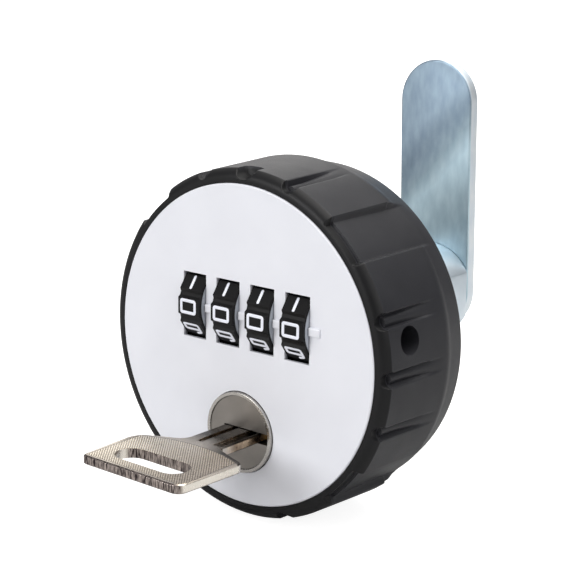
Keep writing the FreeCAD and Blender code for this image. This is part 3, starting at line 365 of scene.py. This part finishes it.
def copy_of(node, body, material, width, segments=2, limit=30.0):
    """The node's own solid with merged corners, its edges rounded to that width, in the given finish."""
    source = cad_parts[node].data
    work = bmesh.new()
    work.from_mesh(source)
    bmesh.ops.remove_doubles(work, verts=work.verts, dist=MERGE_DISTANCE)
    bmesh.ops.dissolve_limit(work, angle_limit=math.radians(FLAT_DEGREES), verts=work.verts, edges=work.edges)
    mesh = bpy.data.meshes.new(node + "_finished")
    work.to_mesh(mesh)
    work.free()
    piece = bpy.data.objects.new(node + "_finished", mesh)
    bpy.context.scene.collection.objects.link(piece)
    mesh.materials.clear()
    mesh.materials.append(material)
    mesh.shade_smooth()
    mesh.set_sharp_from_angle(angle=math.radians(limit))
    if width:
        edge = piece.modifiers.new("edge", "BEVEL")
        edge.width = width
        edge.segments = segments
        edge.limit_method = "ANGLE"
        edge.angle_limit = math.radians(limit)
        edge.harden_normals = True
    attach(piece, body)
    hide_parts(node)
    return piece


def soft_step(value, low, high):
    """0 up to low and 1 from high on, with a soft rise between them."""
    share = np.clip((value - low) / (high - low), 0.0, 1.0)
    return share * share * (3.0 - 2.0 * share)


def grip_radius(angle, depth):
    """Outer radius of the ring in millimetres at each angle in degrees and depth behind the face.

    A bulging bezel, tapered pads and a lower rear band, less the grooves, the wide hollows and the notch.
    A groove's side is a soft step of the distance along the rim, its floor rises a little in the middle,
    and it gets shallower towards the rear.
    """
    angle, depth = np.broadcast_arrays(angle, depth)
    share = np.clip((depth - LIP[1]) / (BEZEL[1] - LIP[1]), 0.0, 1.0)
    bezel = LIP[0] + (BEZEL[0] - LIP[0]) * share ** BEZEL_CURVE
    pad = np.maximum(depth - BEZEL[1], 0.0) * (PAD_REAR[0] - BEZEL[0]) / (PAD_REAR[1] - BEZEL[1]) + bezel
    draft = (RING_REAR[0] - BAND_FRONT[0]) / (RING_REAR[1] - BAND_FRONT[1])
    band = BAND_FRONT[0] + (depth - BAND_FRONT[1]) * draft
    pad = pad - LEDGE_DROP * soft_step(depth, *LEDGE)
    plain = pad + (band - pad) * soft_step(depth, STEP_START, STEP_END)
    radius = plain.copy()

    def beside(middle):
        """Distance along the rim from that angle."""
        return np.abs((angle - middle + 180.0) % 360.0 - 180.0) * math.pi / 180.0 * BEZEL[0]

    for middle in GROOVE_ANGLES:
        away = beside(middle)
        bulge = GROOVE_BULGE * np.maximum(1.0 - (away / GROOVE_FLAT) ** 2, 0.0)
        side = 1.0 - soft_step(away, GROOVE_FLAT, GROOVE_HALF) - bulge
        fade = 1.0 - np.clip((depth - GROOVE_FADE[0]) / (GROOVE_FADE[1] - GROOVE_FADE[0]), 0.0, 1.0)
        if middle in CLOSED_ANGLES:
            radius -= GROOVE_DROP * side * fade * soft_step(depth, *CLOSED_START)
        else:
            begun = soft_step(depth, MOUTH_END - MOUTH_SOFT, MOUTH_END + MOUTH_SOFT)
            radius -= GROOVE_DROP * side * fade * begun
            bowl = MOUTH_FLOOR + GROOVE_HALF - np.sqrt(np.maximum(GROOVE_HALF ** 2 - away ** 2, 0.0))
            mouth = (away < GROOVE_HALF) & (depth < MOUTH_END)
            radius = np.where(mouth, np.minimum(radius, bowl), radius)
    for middle in RECESS_ANGLES:
        half = math.radians(RECESS_HALF) * BEZEL[0]
        side = 1.0 - soft_step(beside(middle), half - RECESS_WALL, half)
        low = RECESS_FLOOR[0] + (RECESS_FLOOR[1] - RECESS_FLOOR[0]) * depth / RECESS_REAR
        low = np.where(depth < MOUTH_END, MOUTH_FLOOR, low)
        drop = np.maximum(plain - low, 0.0) * side
        if middle in CLOSED_ANGLES:
            drop *= soft_step(depth, *CLOSED_START)
        radius -= drop
    away = beside(THUMB_ANGLE)
    bowl = THUMB_FLOOR + THUMB_HALF - np.sqrt(np.maximum(THUMB_HALF ** 2 - away ** 2, 0.0))
    bowl += (PAD_REAR[0] - THUMB_FLOOR) * soft_step(depth, *THUMB_END)
    return np.where(away < THUMB_HALF, np.minimum(radius, bowl), radius)


def ring_surface():
    """Points and faces of the ring: outer skin at every angle and depth, closed by plain inner walls."""
    depths = np.concatenate((
        LIP[1] + (BEZEL[1] - LIP[1]) * np.linspace(0.0, 1.0, 14) ** 2,
        (1.56, 1.64, 1.74, 1.84, 1.96),
        np.arange(2.2, 3.8, 0.15),
        np.arange(4.0, 14.0, 0.8),
        (14.4, 14.7, 14.85, 14.9, 14.96, 15.03, 15.1, 15.15, 15.2, 15.3, 15.5, 15.8),
        np.arange(16.1, 17.7, 0.3),
        np.linspace(18.2, RING_REAR[1], 4),
    ))
    angles = np.arange(RING_TURNS) * 360.0 / RING_TURNS
    outer = grip_radius(angles[:, None], depths[None, :])
    inner = (
        (RING_BORE, RING_REAR[1]), (RING_BORE, FLANGE_REAR), (FLANGE_BORE, FLANGE_REAR),
        (FLANGE_BORE, SEAT_DEPTH), (SEAT_RADIUS, SEAT_DEPTH), (SEAT_RADIUS, LIP[1]),
    )
    radii = np.concatenate((outer, np.tile([r for r, _ in inner], (RING_TURNS, 1))), axis=1) * MM
    deep = np.concatenate((depths, [d for _, d in inner])) * MM
    turn = np.radians(angles)[:, None]
    place = (radii * np.cos(turn), np.broadcast_to(FACE_Y + deep, radii.shape), radii * np.sin(turn))
    points = np.stack(place, axis=2)
    index = np.arange(points.shape[0] * points.shape[1]).reshape(points.shape[:2])
    near, far = index, np.roll(index, -1, 0)
    faces = np.stack((near, np.roll(near, -1, 1), np.roll(far, -1, 1), far), axis=2).reshape(-1, 4)
    return points.reshape(-1, 3), faces


def add_rod(work, radius, start, end):
    """Cylinder between two points, to cut a hole with."""
    axis = Vector(end) - Vector(start)
    turn = axis.to_track_quat("Z", "Y").to_matrix().to_4x4()
    middle = Matrix.Translation((Vector(start) + Vector(end)) / 2)
    bmesh.ops.create_cone(work, cap_ends=True, segments=64, radius1=radius, radius2=radius,
                          depth=axis.length, matrix=middle @ turn)


def drilled(piece):
    """Cuts the button's side hole and the four blind screw holes out of the piece's mesh."""
    work = bmesh.new()
    radius, depth, height = (size * MM for size in SIDE_HOLE)
    inner, outer = (reach * MM for reach in SIDE_HOLE_REACH)
    add_rod(work, radius, (inner, FACE_Y + depth, height), (outer, FACE_Y + depth, height))
    for angle in SCREW_ANGLES:
        x = SCREW_CIRCLE * MM * math.cos(math.radians(angle))
        z = SCREW_CIRCLE * MM * math.sin(math.radians(angle))
        start = FACE_Y + (SEAT_DEPTH + SCREW_SKIN) * MM
        add_rod(work, SCREW_HOLE * MM, (x, start, z), (x, FACE_Y + (FLANGE_REAR + 1) * MM, z))
    mesh = bpy.data.meshes.new("drill")
    work.to_mesh(mesh)
    work.free()
    drill = bpy.data.objects.new("drill", mesh)
    bpy.context.scene.collection.objects.link(drill)
    cut = piece.modifiers.new("cut", "BOOLEAN")
    cut.operation = "DIFFERENCE"
    cut.solver = "EXACT"
    cut.object = drill
    bpy.context.view_layer.update()
    whole = bpy.data.meshes.new_from_object(piece.evaluated_get(bpy.context.evaluated_depsgraph_get()))
    piece.modifiers.clear()
    piece.data = whole
    bpy.data.objects.remove(drill)
    whole.shade_smooth()
    whole.set_sharp_from_angle(angle=math.radians(RING_SHARP))


def ring_finish():
    """Moulded black skin, smoother on the bezel and in the thumb notch than on the pads, and darker there: on
    the bezel partly its glossier skin and partly painted shade, in the notch painted shade.
    """
    material, tree, shader = finish_nodes("ring_black")
    x, y, z = spot(tree)
    edge = FACE_Y + BEZEL[1] * MM
    skin = scaled(tree, y, 0.0, 1.0, edge - RIM_BLEND * MM, edge)
    reach = number(tree, "ADD", number(tree, "POWER", x, 2.0), number(tree, "POWER", z, 2.0))
    reach = number(tree, "SQRT", reach)
    # Painted shade: the thumb notch takes the bezel's dark colour, fading towards its rear and its outer
    # edge.
    near, far = (edge + depth * MM for depth in THUMB_PAINTED_SHADE_END)
    notch = number(tree, "ABSOLUTE", x)
    notch = scaled(tree, notch, 1.0, 0.0, (THUMB_HALF - THUMB_SOFT) * MM, THUMB_HALF * MM)
    notch = number(tree, "MULTIPLY", notch, scaled(tree, z, 0.0, 1.0, 0.0, RING_BORE * MM))
    notch = number(tree, "MULTIPLY", notch, scaled(tree, y, 1.0, 0.0, near, far))
    low, high = (radius * MM for radius in THUMB_PAINTED_SHADE)
    notch = number(tree, "MULTIPLY", notch, scaled(tree, reach, 1.0, 0.0, low, high))
    skin = number(tree, "MULTIPLY", skin, number(tree, "SUBTRACT", 1.0, notch))
    cloud = noise(tree, 120.0)
    pads = ramp(tree, cloud, (0.0155, 0.0158, 0.0190), (0.0215, 0.0218, 0.0255))
    # The bezel's near-black colour, also used in the notch, is partly the glossier skin's and partly painted
    # shade.
    rim = ramp(tree, cloud, (0.0028, 0.0028, 0.0034), (0.004, 0.004, 0.005))
    tree.links.new(blend(tree, skin, rim, pads), shader.inputs["Base Color"])
    tree.links.new(scaled(tree, noise(tree, 300.0), 0.40, 0.50), shader.inputs["Roughness"])
    shader.inputs["Specular IOR Level"].default_value = 0.25
    bump(tree, shader, number(tree, "MULTIPLY", noise(tree, 9000.0, 1.0), skin), 1.5e-5)
    return material


points, faces = ring_surface()
faces = outward(points, faces)
grip = new_piece("grip_ring_skin", points, faces, ring_finish(), "knob")
drilled(grip)
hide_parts("grip_ring")

# Faceplate
# A white moulded disc with a satin skin, cut out for the wheels and the plug.
# It sits in the front of the ring.
face_white = plastic("face_white", (0.72, 0.73, 0.78), (0.75, 0.76, 0.81),
                     (0.38, 0.46), 7000.0, 6e-6, 0.4)
copy_of("faceplate", "knob", face_white, 0.08 * MM, 2)

# Number wheels
# Black moulded rings of ten pads on grey hubs.
# The digits are shallow channels in the pads, filled with white paint.
WHEELS = 4
DIGITS = 10
PAD_APOTHEM = 6.5 * MM
AXLE_DEPTH = 5.0 * MM
AXLE_Z = 5.12 * MM
DIGIT_HALF_WIDTH = 1.45 * MM
DIGIT_HALF_HEIGHT = 0.98 * MM
DIGIT_LEFT = 0.12 * MM
STROKE = 0.27 * MM
STROKE_CORNER = 0.30 * MM
STROKE_PROUD = 0.035 * MM
STROKE_STEP = 0.05 * MM
# Corner points of each digit in half widths and half heights, one list for each stroke.
DIGIT_STROKES = (
    ((((-1, -1), (1, -1), (1, 1), (-1, 1)), True),),
    ((((0, -1.25), (0, 1.25)), False),),
    ((((-1, 1), (1, 1), (1, 0), (-1, 0), (-1, -1), (1, -1)), False),),
    ((((-1, 1), (1, 1), (1, -1), (-1, -1)), False), (((-0.5, 0), (1, 0)), False)),
    ((((-1, 1), (-1, -0.1), (1, -0.1)), False), (((0.6, 1), (0.6, -1)), False)),
    ((((1, 1), (-1, 1), (-1, 0.1), (1, 0.1), (1, -1), (-1, -1)), False),),
    ((((1, 1), (-1, 1), (-1, -1), (1, -1), (1, 0.05), (-1, 0.05)), False),),
    ((((-1, 1), (1, 1), (0.2, -1)), False),),
    ((((-1, -1), (1, -1), (1, 1), (-1, 1)), True), (((-1, 0), (1, 0)), False)),
    ((((-1, -0.15), (1, -0.15), (1, 1), (-1, 1)), True), (((1, 0.2), (1, -0.7), (0.25, -1)), False)),
)


def stroke_path(corners, closed):
    """Points a step apart along the corners, each moved to the mean of those within the corner size."""
    spots = np.array(corners + (corners[:1] if closed else ()), float)
    spots *= (DIGIT_HALF_WIDTH, DIGIT_HALF_HEIGHT)
    reach = np.concatenate(([0.0], np.cumsum(np.linalg.norm(np.diff(spots, axis=0), axis=1))))
    count = int(reach[-1] / STROKE_STEP)
    along = np.linspace(0.0, reach[-1], count, endpoint=not closed)
    line = np.stack([np.interp(along, reach, spots[:, axis]) for axis in (0, 1)], axis=1)
    half = int(STROKE_CORNER / STROKE_STEP)
    if closed:
        ends = np.pad(line, ((half, half), (0, 0)), "wrap")
    else:
        ends = np.pad(line, ((half, half), (0, 0)), "reflect", reflect_type="odd")
    mean = np.ones(2 * half + 1) / (2 * half + 1)
    return np.stack([np.convolve(ends[:, axis], mean, "valid") for axis in (0, 1)], axis=1)


def stroke_tube(path, closed):
    """Flat-domed bead along the path: its width falls to nothing at an open end as a half circle does.

    Returns (along, around, 3) points as sideways, up and proud of the pad, and the four-cornered faces.
    """
    ahead = np.roll(path, -1, 0) - np.roll(path, 1, 0) if closed else np.gradient(path, axis=0)
    ahead /= np.linalg.norm(ahead, axis=1, keepdims=True)
    across = np.stack([-ahead[:, 1], ahead[:, 0]], axis=1)
    wide = np.ones(len(path))
    if not closed:
        step = np.concatenate(([0.0], np.cumsum(np.linalg.norm(np.diff(path, axis=0), axis=1))))
        near = np.clip(np.minimum(step, step[-1] - step) / STROKE, 0.0, 1.0)
        wide = np.sqrt(1.0 - (1.0 - near) ** 2)
    side = np.array([-1.0, -0.92, -0.4, 0.4, 0.92, 1.0])
    lift = np.array([-1.0, 0.7, 1.0, 1.0, 0.7, -1.0]) * STROKE_PROUD
    flat = path[:, None, :] + across[:, None, :] * (wide[:, None] * side * STROKE)[:, :, None]
    proud = lift * wide[:, None]
    points = np.concatenate([flat, proud[:, :, None]], axis=2)
    rows, columns = points.shape[:2]
    index = np.arange(rows * columns).reshape(rows, columns)
    a = index if closed else index[:-1]
    b = np.roll(index, -1, 0) if closed else index[1:]
    faces = np.stack([a, np.roll(a, -1, 1), np.roll(b, -1, 1), b], axis=2).reshape(-1, 4)
    return points.reshape(-1, 3), faces


def wheel_digits(middle):
    """The strokes of all ten digits, each laid on its pad of the wheel whose middle is at that x."""
    sideways = np.array([1.0, 0.0, 0.0])
    every_point = []
    every_face = []
    start = 0
    for digit, strokes in enumerate(DIGIT_STROKES):
        turn = 2 * math.pi * digit / DIGITS
        out = np.array([0.0, -math.cos(turn), math.sin(turn)])
        up = np.array([0.0, math.sin(turn), math.cos(turn)])
        for corners, closed in strokes:
            local, faces = stroke_tube(stroke_path(corners, closed), closed)
            points = np.array([middle - DIGIT_LEFT, FACE_Y + AXLE_DEPTH, AXLE_Z]) + out * PAD_APOTHEM
            points = points + local[:, :1] * sideways + local[:, 1:2] * up + local[:, 2:] * out
            every_face.append(outward(points, faces) + start)
            every_point.append(points)
            start += len(points)
    return np.concatenate(every_point), np.concatenate(every_face)


wheel_black = plastic("wheel_black", (0.0016, 0.0016, 0.002), (0.0026, 0.0026, 0.003),
                      (0.40, 0.48), gloss=0.2)
wheel_grey = plastic("wheel_grey", (0.36, 0.38, 0.43), (0.42, 0.45, 0.50), (0.35, 0.45))
digit_white = plastic("digit_white", (0.74, 0.76, 0.84), (0.80, 0.82, 0.90),
                      (0.45, 0.55), 7000.0, 4e-6, 0.4)
for n in range(1, WHEELS + 1):
    body = "wheel_%d" % n
    copy_of("number_ring_%d" % n, body, wheel_black, 0.18 * MM, 3, 12.0)
    copy_of("code_disc_%d" % n, body, wheel_grey, 0.08 * MM, 2)
    low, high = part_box("number_ring_%d" % n)
    points, faces = wheel_digits((low[0] + high[0]) / 2)
    new_piece("digits_%d" % n, points, faces, digit_white, body)

# Plug and sleeve
# Turned brass, nickel plated: a grey satin face with a polished rim.
# The plug turns in the sleeve.


def metal(name, dark, light, rough=(0.22, 0.34), stretch=(1, 1, 1), scale=900.0, depth=4e-6):
    """Plated metal: clouded tint, brushed relief drawn out along one axis."""
    material, tree, shader = finish_nodes(name)
    shader.inputs["Metallic"].default_value = 1.0
    tree.links.new(ramp(tree, noise(tree, 160.0), dark, light), shader.inputs["Base Color"])
    brushed = noise(tree, scale, 4.0, stretch)
    tree.links.new(scaled(tree, brushed, *rough), shader.inputs["Roughness"])
    bump(tree, shader, brushed, depth)
    return material


nickel = metal("nickel", (0.42, 0.40, 0.38), (0.50, 0.48, 0.45), (0.2, 0.32), (1, 1, 12))
plug_nickel = metal("plug_nickel", (0.22, 0.205, 0.19), (0.28, 0.26, 0.24),
                    (0.34, 0.46), (1, 1, 3), 2500.0, 3e-6)
copy_of("plug_sleeve", "knob", nickel, 0.12 * MM, 3)
copy_of("key_plug", "plug", plug_nickel, 0.08 * MM, 2)

# Master key
# Stamped brass, nickel plated: fine slanting ribs on both sides of the bow up to an arc before the neck,
# polished rims, and upright shear marks on the walls of the front end and the slot.
KEY_Z = -14.08 * MM
KEY_THICK = 1.6 * MM
RIB_PITCH = 0.36 * MM
RIB_ARC_X = 1.125 * MM
RIB_ARC_DEPTH = -34.9 * MM
RIB_ARC_RADIUS = 24.1 * MM
RIB_LEAN = math.radians(39.0)
# Depths before the face over which painted shade darkens the key near the plug, and the x over which a
# painted shadow darkens the shoulder outside the arc.
PLUG_SHADE_START = 11.0 * MM
PLUG_SHADE_END = 6.0 * MM
SHOULDER_START = 1.0 * MM
SHOULDER_END = 6.0 * MM
# X over which the ribbed bow runs from painted light on the left to painted shade on the right.
BOW_PAINTED_LIGHT = -9.0 * MM
BOW_PAINTED_SHADE = 7.0 * MM
RIM_LEFT = -9.1 * MM
RIM_RIGHT = 10.3 * MM
RIM_FRONT = FACE_Y - 24.6 * MM
RIM_SOFT = 0.05 * MM
# RIM_LINE, ARC_LINE and ARC_LINE_END size the dark lines of painted shade along the rims and the arc.
RIM_LINE = 0.1 * MM
ARC_SOFT = 0.15 * MM
ARC_LINE = 0.14 * MM
ARC_LINE_END = 0.2 * MM
TOP_BELOW = (0.06 * MM, 0.02 * MM)


def near_value(tree, value, place, half):
    """1 where the value is at that place, down to 0 at half a line's width from it."""
    away = number(tree, "ABSOLUTE", number(tree, "SUBTRACT", value, place))
    return scaled(tree, away, 1.0, 0.0, half * 0.4, half)


def key_finish():
    """Warm nickel: ribs on the flat inside the arc, shear marks on walls that face front or back, and light
    and shade painted into the colour: lit and shaded rib stripes, a bow lighter to the left, dark near the
    plug, beside the arc, along the arc and rims and on the slot floors, and bright side walls.
    """
    material, tree, shader = finish_nodes("key_nickel")
    shader.inputs["Metallic"].default_value = 1.0
    x, y, z = spot(tree)
    slant = number(tree, "MULTIPLY", x, math.cos(RIB_LEAN))
    slant = number(tree, "ADD", slant, number(tree, "MULTIPLY", y, math.sin(RIB_LEAN)))
    wave = number(tree, "SINE", number(tree, "MULTIPLY", slant, 2 * math.pi / RIB_PITCH))
    ribs = scaled(tree, wave, 0.0, 1.0, -1.0, 1.0)
    side = number(tree, "POWER", number(tree, "SUBTRACT", x, RIB_ARC_X), 2.0)
    deep = number(tree, "POWER", number(tree, "SUBTRACT", y, FACE_Y + RIB_ARC_DEPTH), 2.0)
    reach = number(tree, "SQRT", number(tree, "ADD", side, deep))
    inside = scaled(tree, reach, 1.0, 0.0, RIB_ARC_RADIUS - ARC_SOFT, RIB_ARC_RADIUS)
    height = number(tree, "ABSOLUTE", number(tree, "SUBTRACT", z, KEY_Z))
    low, high = (KEY_THICK / 2 - below for below in TOP_BELOW)
    flat = scaled(tree, height, 0.0, 1.0, low, high)
    field = number(tree, "MULTIPLY", inside, flat)
    # Mask of the dark lines along the arc and the rims of the flat, which are painted shade.
    line = near_value(tree, reach, RIB_ARC_RADIUS, ARC_LINE)
    for value, edge, turn in ((x, RIM_LEFT, 1), (x, RIM_RIGHT, -1), (y, RIM_FRONT, 1)):
        within = scaled(tree, value, 0.0, 1.0, edge, edge + turn * RIM_SOFT)
        field = number(tree, "MULTIPLY", field, within)
        line = number(tree, "MAXIMUM", line, near_value(tree, value, edge, RIM_LINE))
    line = number(tree, "MULTIPLY", line, flat)
    within = scaled(tree, reach, 1.0, 0.0, RIB_ARC_RADIUS, RIB_ARC_RADIUS + ARC_LINE_END)
    line = number(tree, "MULTIPLY", line, within)
    toward_x, toward_y, toward_z = facing(tree)
    frontal = scaled(tree, toward_y, 0.0, 1.0, 0.45, 0.65)
    marks = noise(tree, 5500.0, 4.0, (1, 1, 0.12))
    plain = ramp(tree, noise(tree, 160.0), (0.46, 0.41, 0.35), (0.56, 0.50, 0.43))
    # The ribs' stripes are painted light on their crests and painted shade in their valleys, and the bow is
    # painted lighter to the left and darker to the right.
    ribs_painted_light = ramp(tree, ribs, (0.40, 0.335, 0.25), (0.92, 0.84, 0.71), 0.15, 0.75)
    ribs_painted_shade = ramp(tree, ribs, (0.16, 0.125, 0.09), (0.55, 0.47, 0.37), 0.15, 0.75)
    ribbed = blend(tree, scaled(tree, x, 0.0, 1.0, BOW_PAINTED_LIGHT, BOW_PAINTED_SHADE), ribs_painted_light, ribs_painted_shade)
    sheared = ramp(tree, marks, (0.025, 0.018, 0.02), (0.42, 0.36, 0.33), 0.40, 0.60)
    # Painted shade: near black on the blade near the plug, and the neck's painted shadow on the shoulder
    # outside the arc.
    shaded = ramp(tree, noise(tree, 400.0), (0.005, 0.004, 0.003), (0.04, 0.032, 0.026))
    plug_painted_shade = scaled(tree, y, 0.0, 1.0, FACE_Y - PLUG_SHADE_START, FACE_Y - PLUG_SHADE_END)
    shoulder = scaled(tree, x, 0.0, 1.0, SHOULDER_START, SHOULDER_END)
    shoulder = number(tree, "MULTIPLY", shoulder, number(tree, "SUBTRACT", 1.0, inside))
    plain = blend(tree, shoulder, plain, shaded)
    top = blend(tree, plug_painted_shade, blend(tree, field, plain, ribbed), shaded)
    # Painted shade: dark lines along the arc and the rims.
    top = blend(tree, line, top, ramp(tree, line, (0.16, 0.14, 0.12), (0.12, 0.10, 0.09)))
    # Painted shade: the floors of the slots along the blade are near black.
    level = scaled(tree, toward_z, 0.0, 1.0, 0.8, 0.95)
    sunk = scaled(tree, height, 1.0, 0.0, KEY_THICK / 4, KEY_THICK * 0.4)
    sunk = number(tree, "MULTIPLY", level, sunk)
    groove = ramp(tree, noise(tree, 160.0), (0.006, 0.005, 0.005), (0.012, 0.01, 0.009))
    top = blend(tree, sunk, top, groove)
    # Painted highlight: walls that face sideways are bright nickel; near the plug they turn to warm painted
    # light and painted shade.
    sideways = scaled(tree, toward_x, 0.0, 1.0, 0.8, 0.95)
    bright = ramp(tree, noise(tree, 160.0), (0.86, 0.81, 0.73), (0.95, 0.90, 0.82))
    side_painted_shade = ramp(tree, noise(tree, 600.0), (0.16, 0.11, 0.075), (0.55, 0.42, 0.29))
    side = blend(tree, plug_painted_shade, bright, side_painted_shade)
    color = blend(tree, frontal, blend(tree, sideways, top, side), sheared)
    tree.links.new(color, shader.inputs["Base Color"])
    tree.links.new(scaled(tree, noise(tree, 500.0), 0.2, 0.34), shader.inputs["Roughness"])
    relief = number(tree, "MULTIPLY", ribs, field)
    sheared_relief = number(tree, "MULTIPLY", number(tree, "MULTIPLY", marks, frontal), 0.8)
    relief = number(tree, "ADD", relief, sheared_relief)
    bump(tree, shader, relief, 4e-5)
    return material


copy_of("master_key", "key", key_finish(), 0.1 * MM, 2)

# Cam bar, barrel and fastening
# Steel, stamped or turned, with a bright zinc plate that has a blue cast.
# The bar sits on the spindle's square end, under a split washer and a socket-head screw.
BAR_BORDER = 26.0 * MM
BAR_SLANT = 1.05
BAR_DRIFT = 3.0 * MM
BAR_FADE = 3.5 * MM
CLOUD_ABOVE = 2.0 * MM
CLOUD_HALF = 7.0 * MM
CLOUD_SHARE = 0.5

zinc = metal("zinc", (0.56, 0.68, 0.78), (0.70, 0.82, 0.92), (0.26, 0.38), (8, 1, 1))


def bar_finish():
    """Zinc plate: blue grey at the top, pale and greenish lower down, a dark slanting cloud between, and a
    painted highlight on the edges.
    """
    material, tree, shader = finish_nodes("bar_zinc")
    shader.inputs["Metallic"].default_value = 1.0
    x, _, z = spot(tree)
    slant = number(tree, "SUBTRACT", z, number(tree, "MULTIPLY", x, BAR_SLANT))
    drift = number(tree, "MULTIPLY", noise(tree, 120.0, 3.0), BAR_DRIFT)
    height = number(tree, "ADD", slant, drift)
    upper = scaled(tree, height, 0.0, 1.0, BAR_BORDER - BAR_FADE, BAR_BORDER + BAR_FADE)
    mottled = noise(tree, 700.0, 4.0, (1, 1, 0.35))
    pale = ramp(tree, mottled, (0.45, 0.60, 0.68), (0.58, 0.73, 0.80))
    blue = ramp(tree, mottled, (0.235, 0.31, 0.39), (0.315, 0.405, 0.485))
    dark = ramp(tree, mottled, (0.11, 0.155, 0.20), (0.17, 0.225, 0.27))
    cloud = near_value(tree, height, BAR_BORDER + CLOUD_ABOVE, CLOUD_HALF)
    cloud = number(tree, "MULTIPLY", cloud, CLOUD_SHARE)
    tint = blend(tree, cloud, blend(tree, upper, pale, blue), dark)
    # Painted highlight: faces that turn away from front and back, the bar's edges, are coloured near white.
    rim = scaled(tree, facing(tree)[1], 1.0, 0.0, 0.05, 0.6)
    bright = ramp(tree, mottled, (0.78, 0.86, 0.93), (0.90, 0.95, 0.98))
    tree.links.new(blend(tree, rim, tint, bright), shader.inputs["Base Color"])
    brushed = noise(tree, 3500.0, 3.0, (1, 1, 0.04))
    tree.links.new(scaled(tree, brushed, 0.38, 0.54), shader.inputs["Roughness"])
    bump(tree, shader, brushed, 3e-6)
    return material


copy_of("cam_arm", "knob", bar_finish(), 0.0)
barrel_zinc = metal("barrel_zinc", (0.70, 0.80, 0.88), (0.84, 0.92, 0.98), (0.34, 0.46), (8, 1, 1))
copy_of("barrel", "base", barrel_zinc, 0.2 * MM, 2)
copy_of("cam_screw", "knob", zinc, 0.1 * MM, 2)
copy_of("cam_washer", "knob", zinc, 0.1 * MM, 2)
copy_of("spindle", "knob", zinc, 0.1 * MM, 2)

# Pieces inside and behind the knob
# Black mouldings, a painted casting, turned pins and flat springs, mostly hidden.
# Screws hold the housing to the ring and the hub plate to the housing.
housing_black = plastic("housing_black", (0.012, 0.012, 0.013), (0.018, 0.018, 0.019))
base_paint = plastic("base_paint", (0.02, 0.02, 0.022), (0.03, 0.03, 0.032), (0.35, 0.5))
plain_steel = metal("plain_steel", (0.42, 0.42, 0.42), (0.52, 0.52, 0.52))
spring_steel = metal("spring_steel", (0.28, 0.29, 0.31), (0.36, 0.37, 0.39))
wafer_brass = metal("wafer_brass", (0.55, 0.40, 0.17), (0.66, 0.49, 0.22))
button_black = plastic("button_black", (0.004, 0.004, 0.0045), (0.007, 0.007, 0.0075))


def paint_node(node, material):
    """Puts the finish on a node whose own solid is shown."""
    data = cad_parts[node].data
    data.materials.clear()
    data.materials.append(material)


copy_of("base_plate", "base", base_paint, 0.15 * MM, 2)
paint_node("wheel_housing", housing_black)
paint_node("hub_plate", housing_black)
paint_node("reset_button", button_black)
paint_node("wafers", wafer_brass)
for node in ("barrel_screws", "stop_pin", "ring_screws", "hub_screws", "spindle_screws", "plug_lever",
             "wheel_axle", "locking_bolt", "comb_screws"):
    paint_node(node, plain_steel)
for node in ("plug_clip", "detent_comb"):
    paint_node(node, spring_steel)

low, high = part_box("reset_spring")
spring = copy_of("reset_spring", "knob", spring_steel, 0.0)
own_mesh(spring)
low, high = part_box("bolt_spring")
spring = copy_of("bolt_spring", "knob", spring_steel, 0.0)
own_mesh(spring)
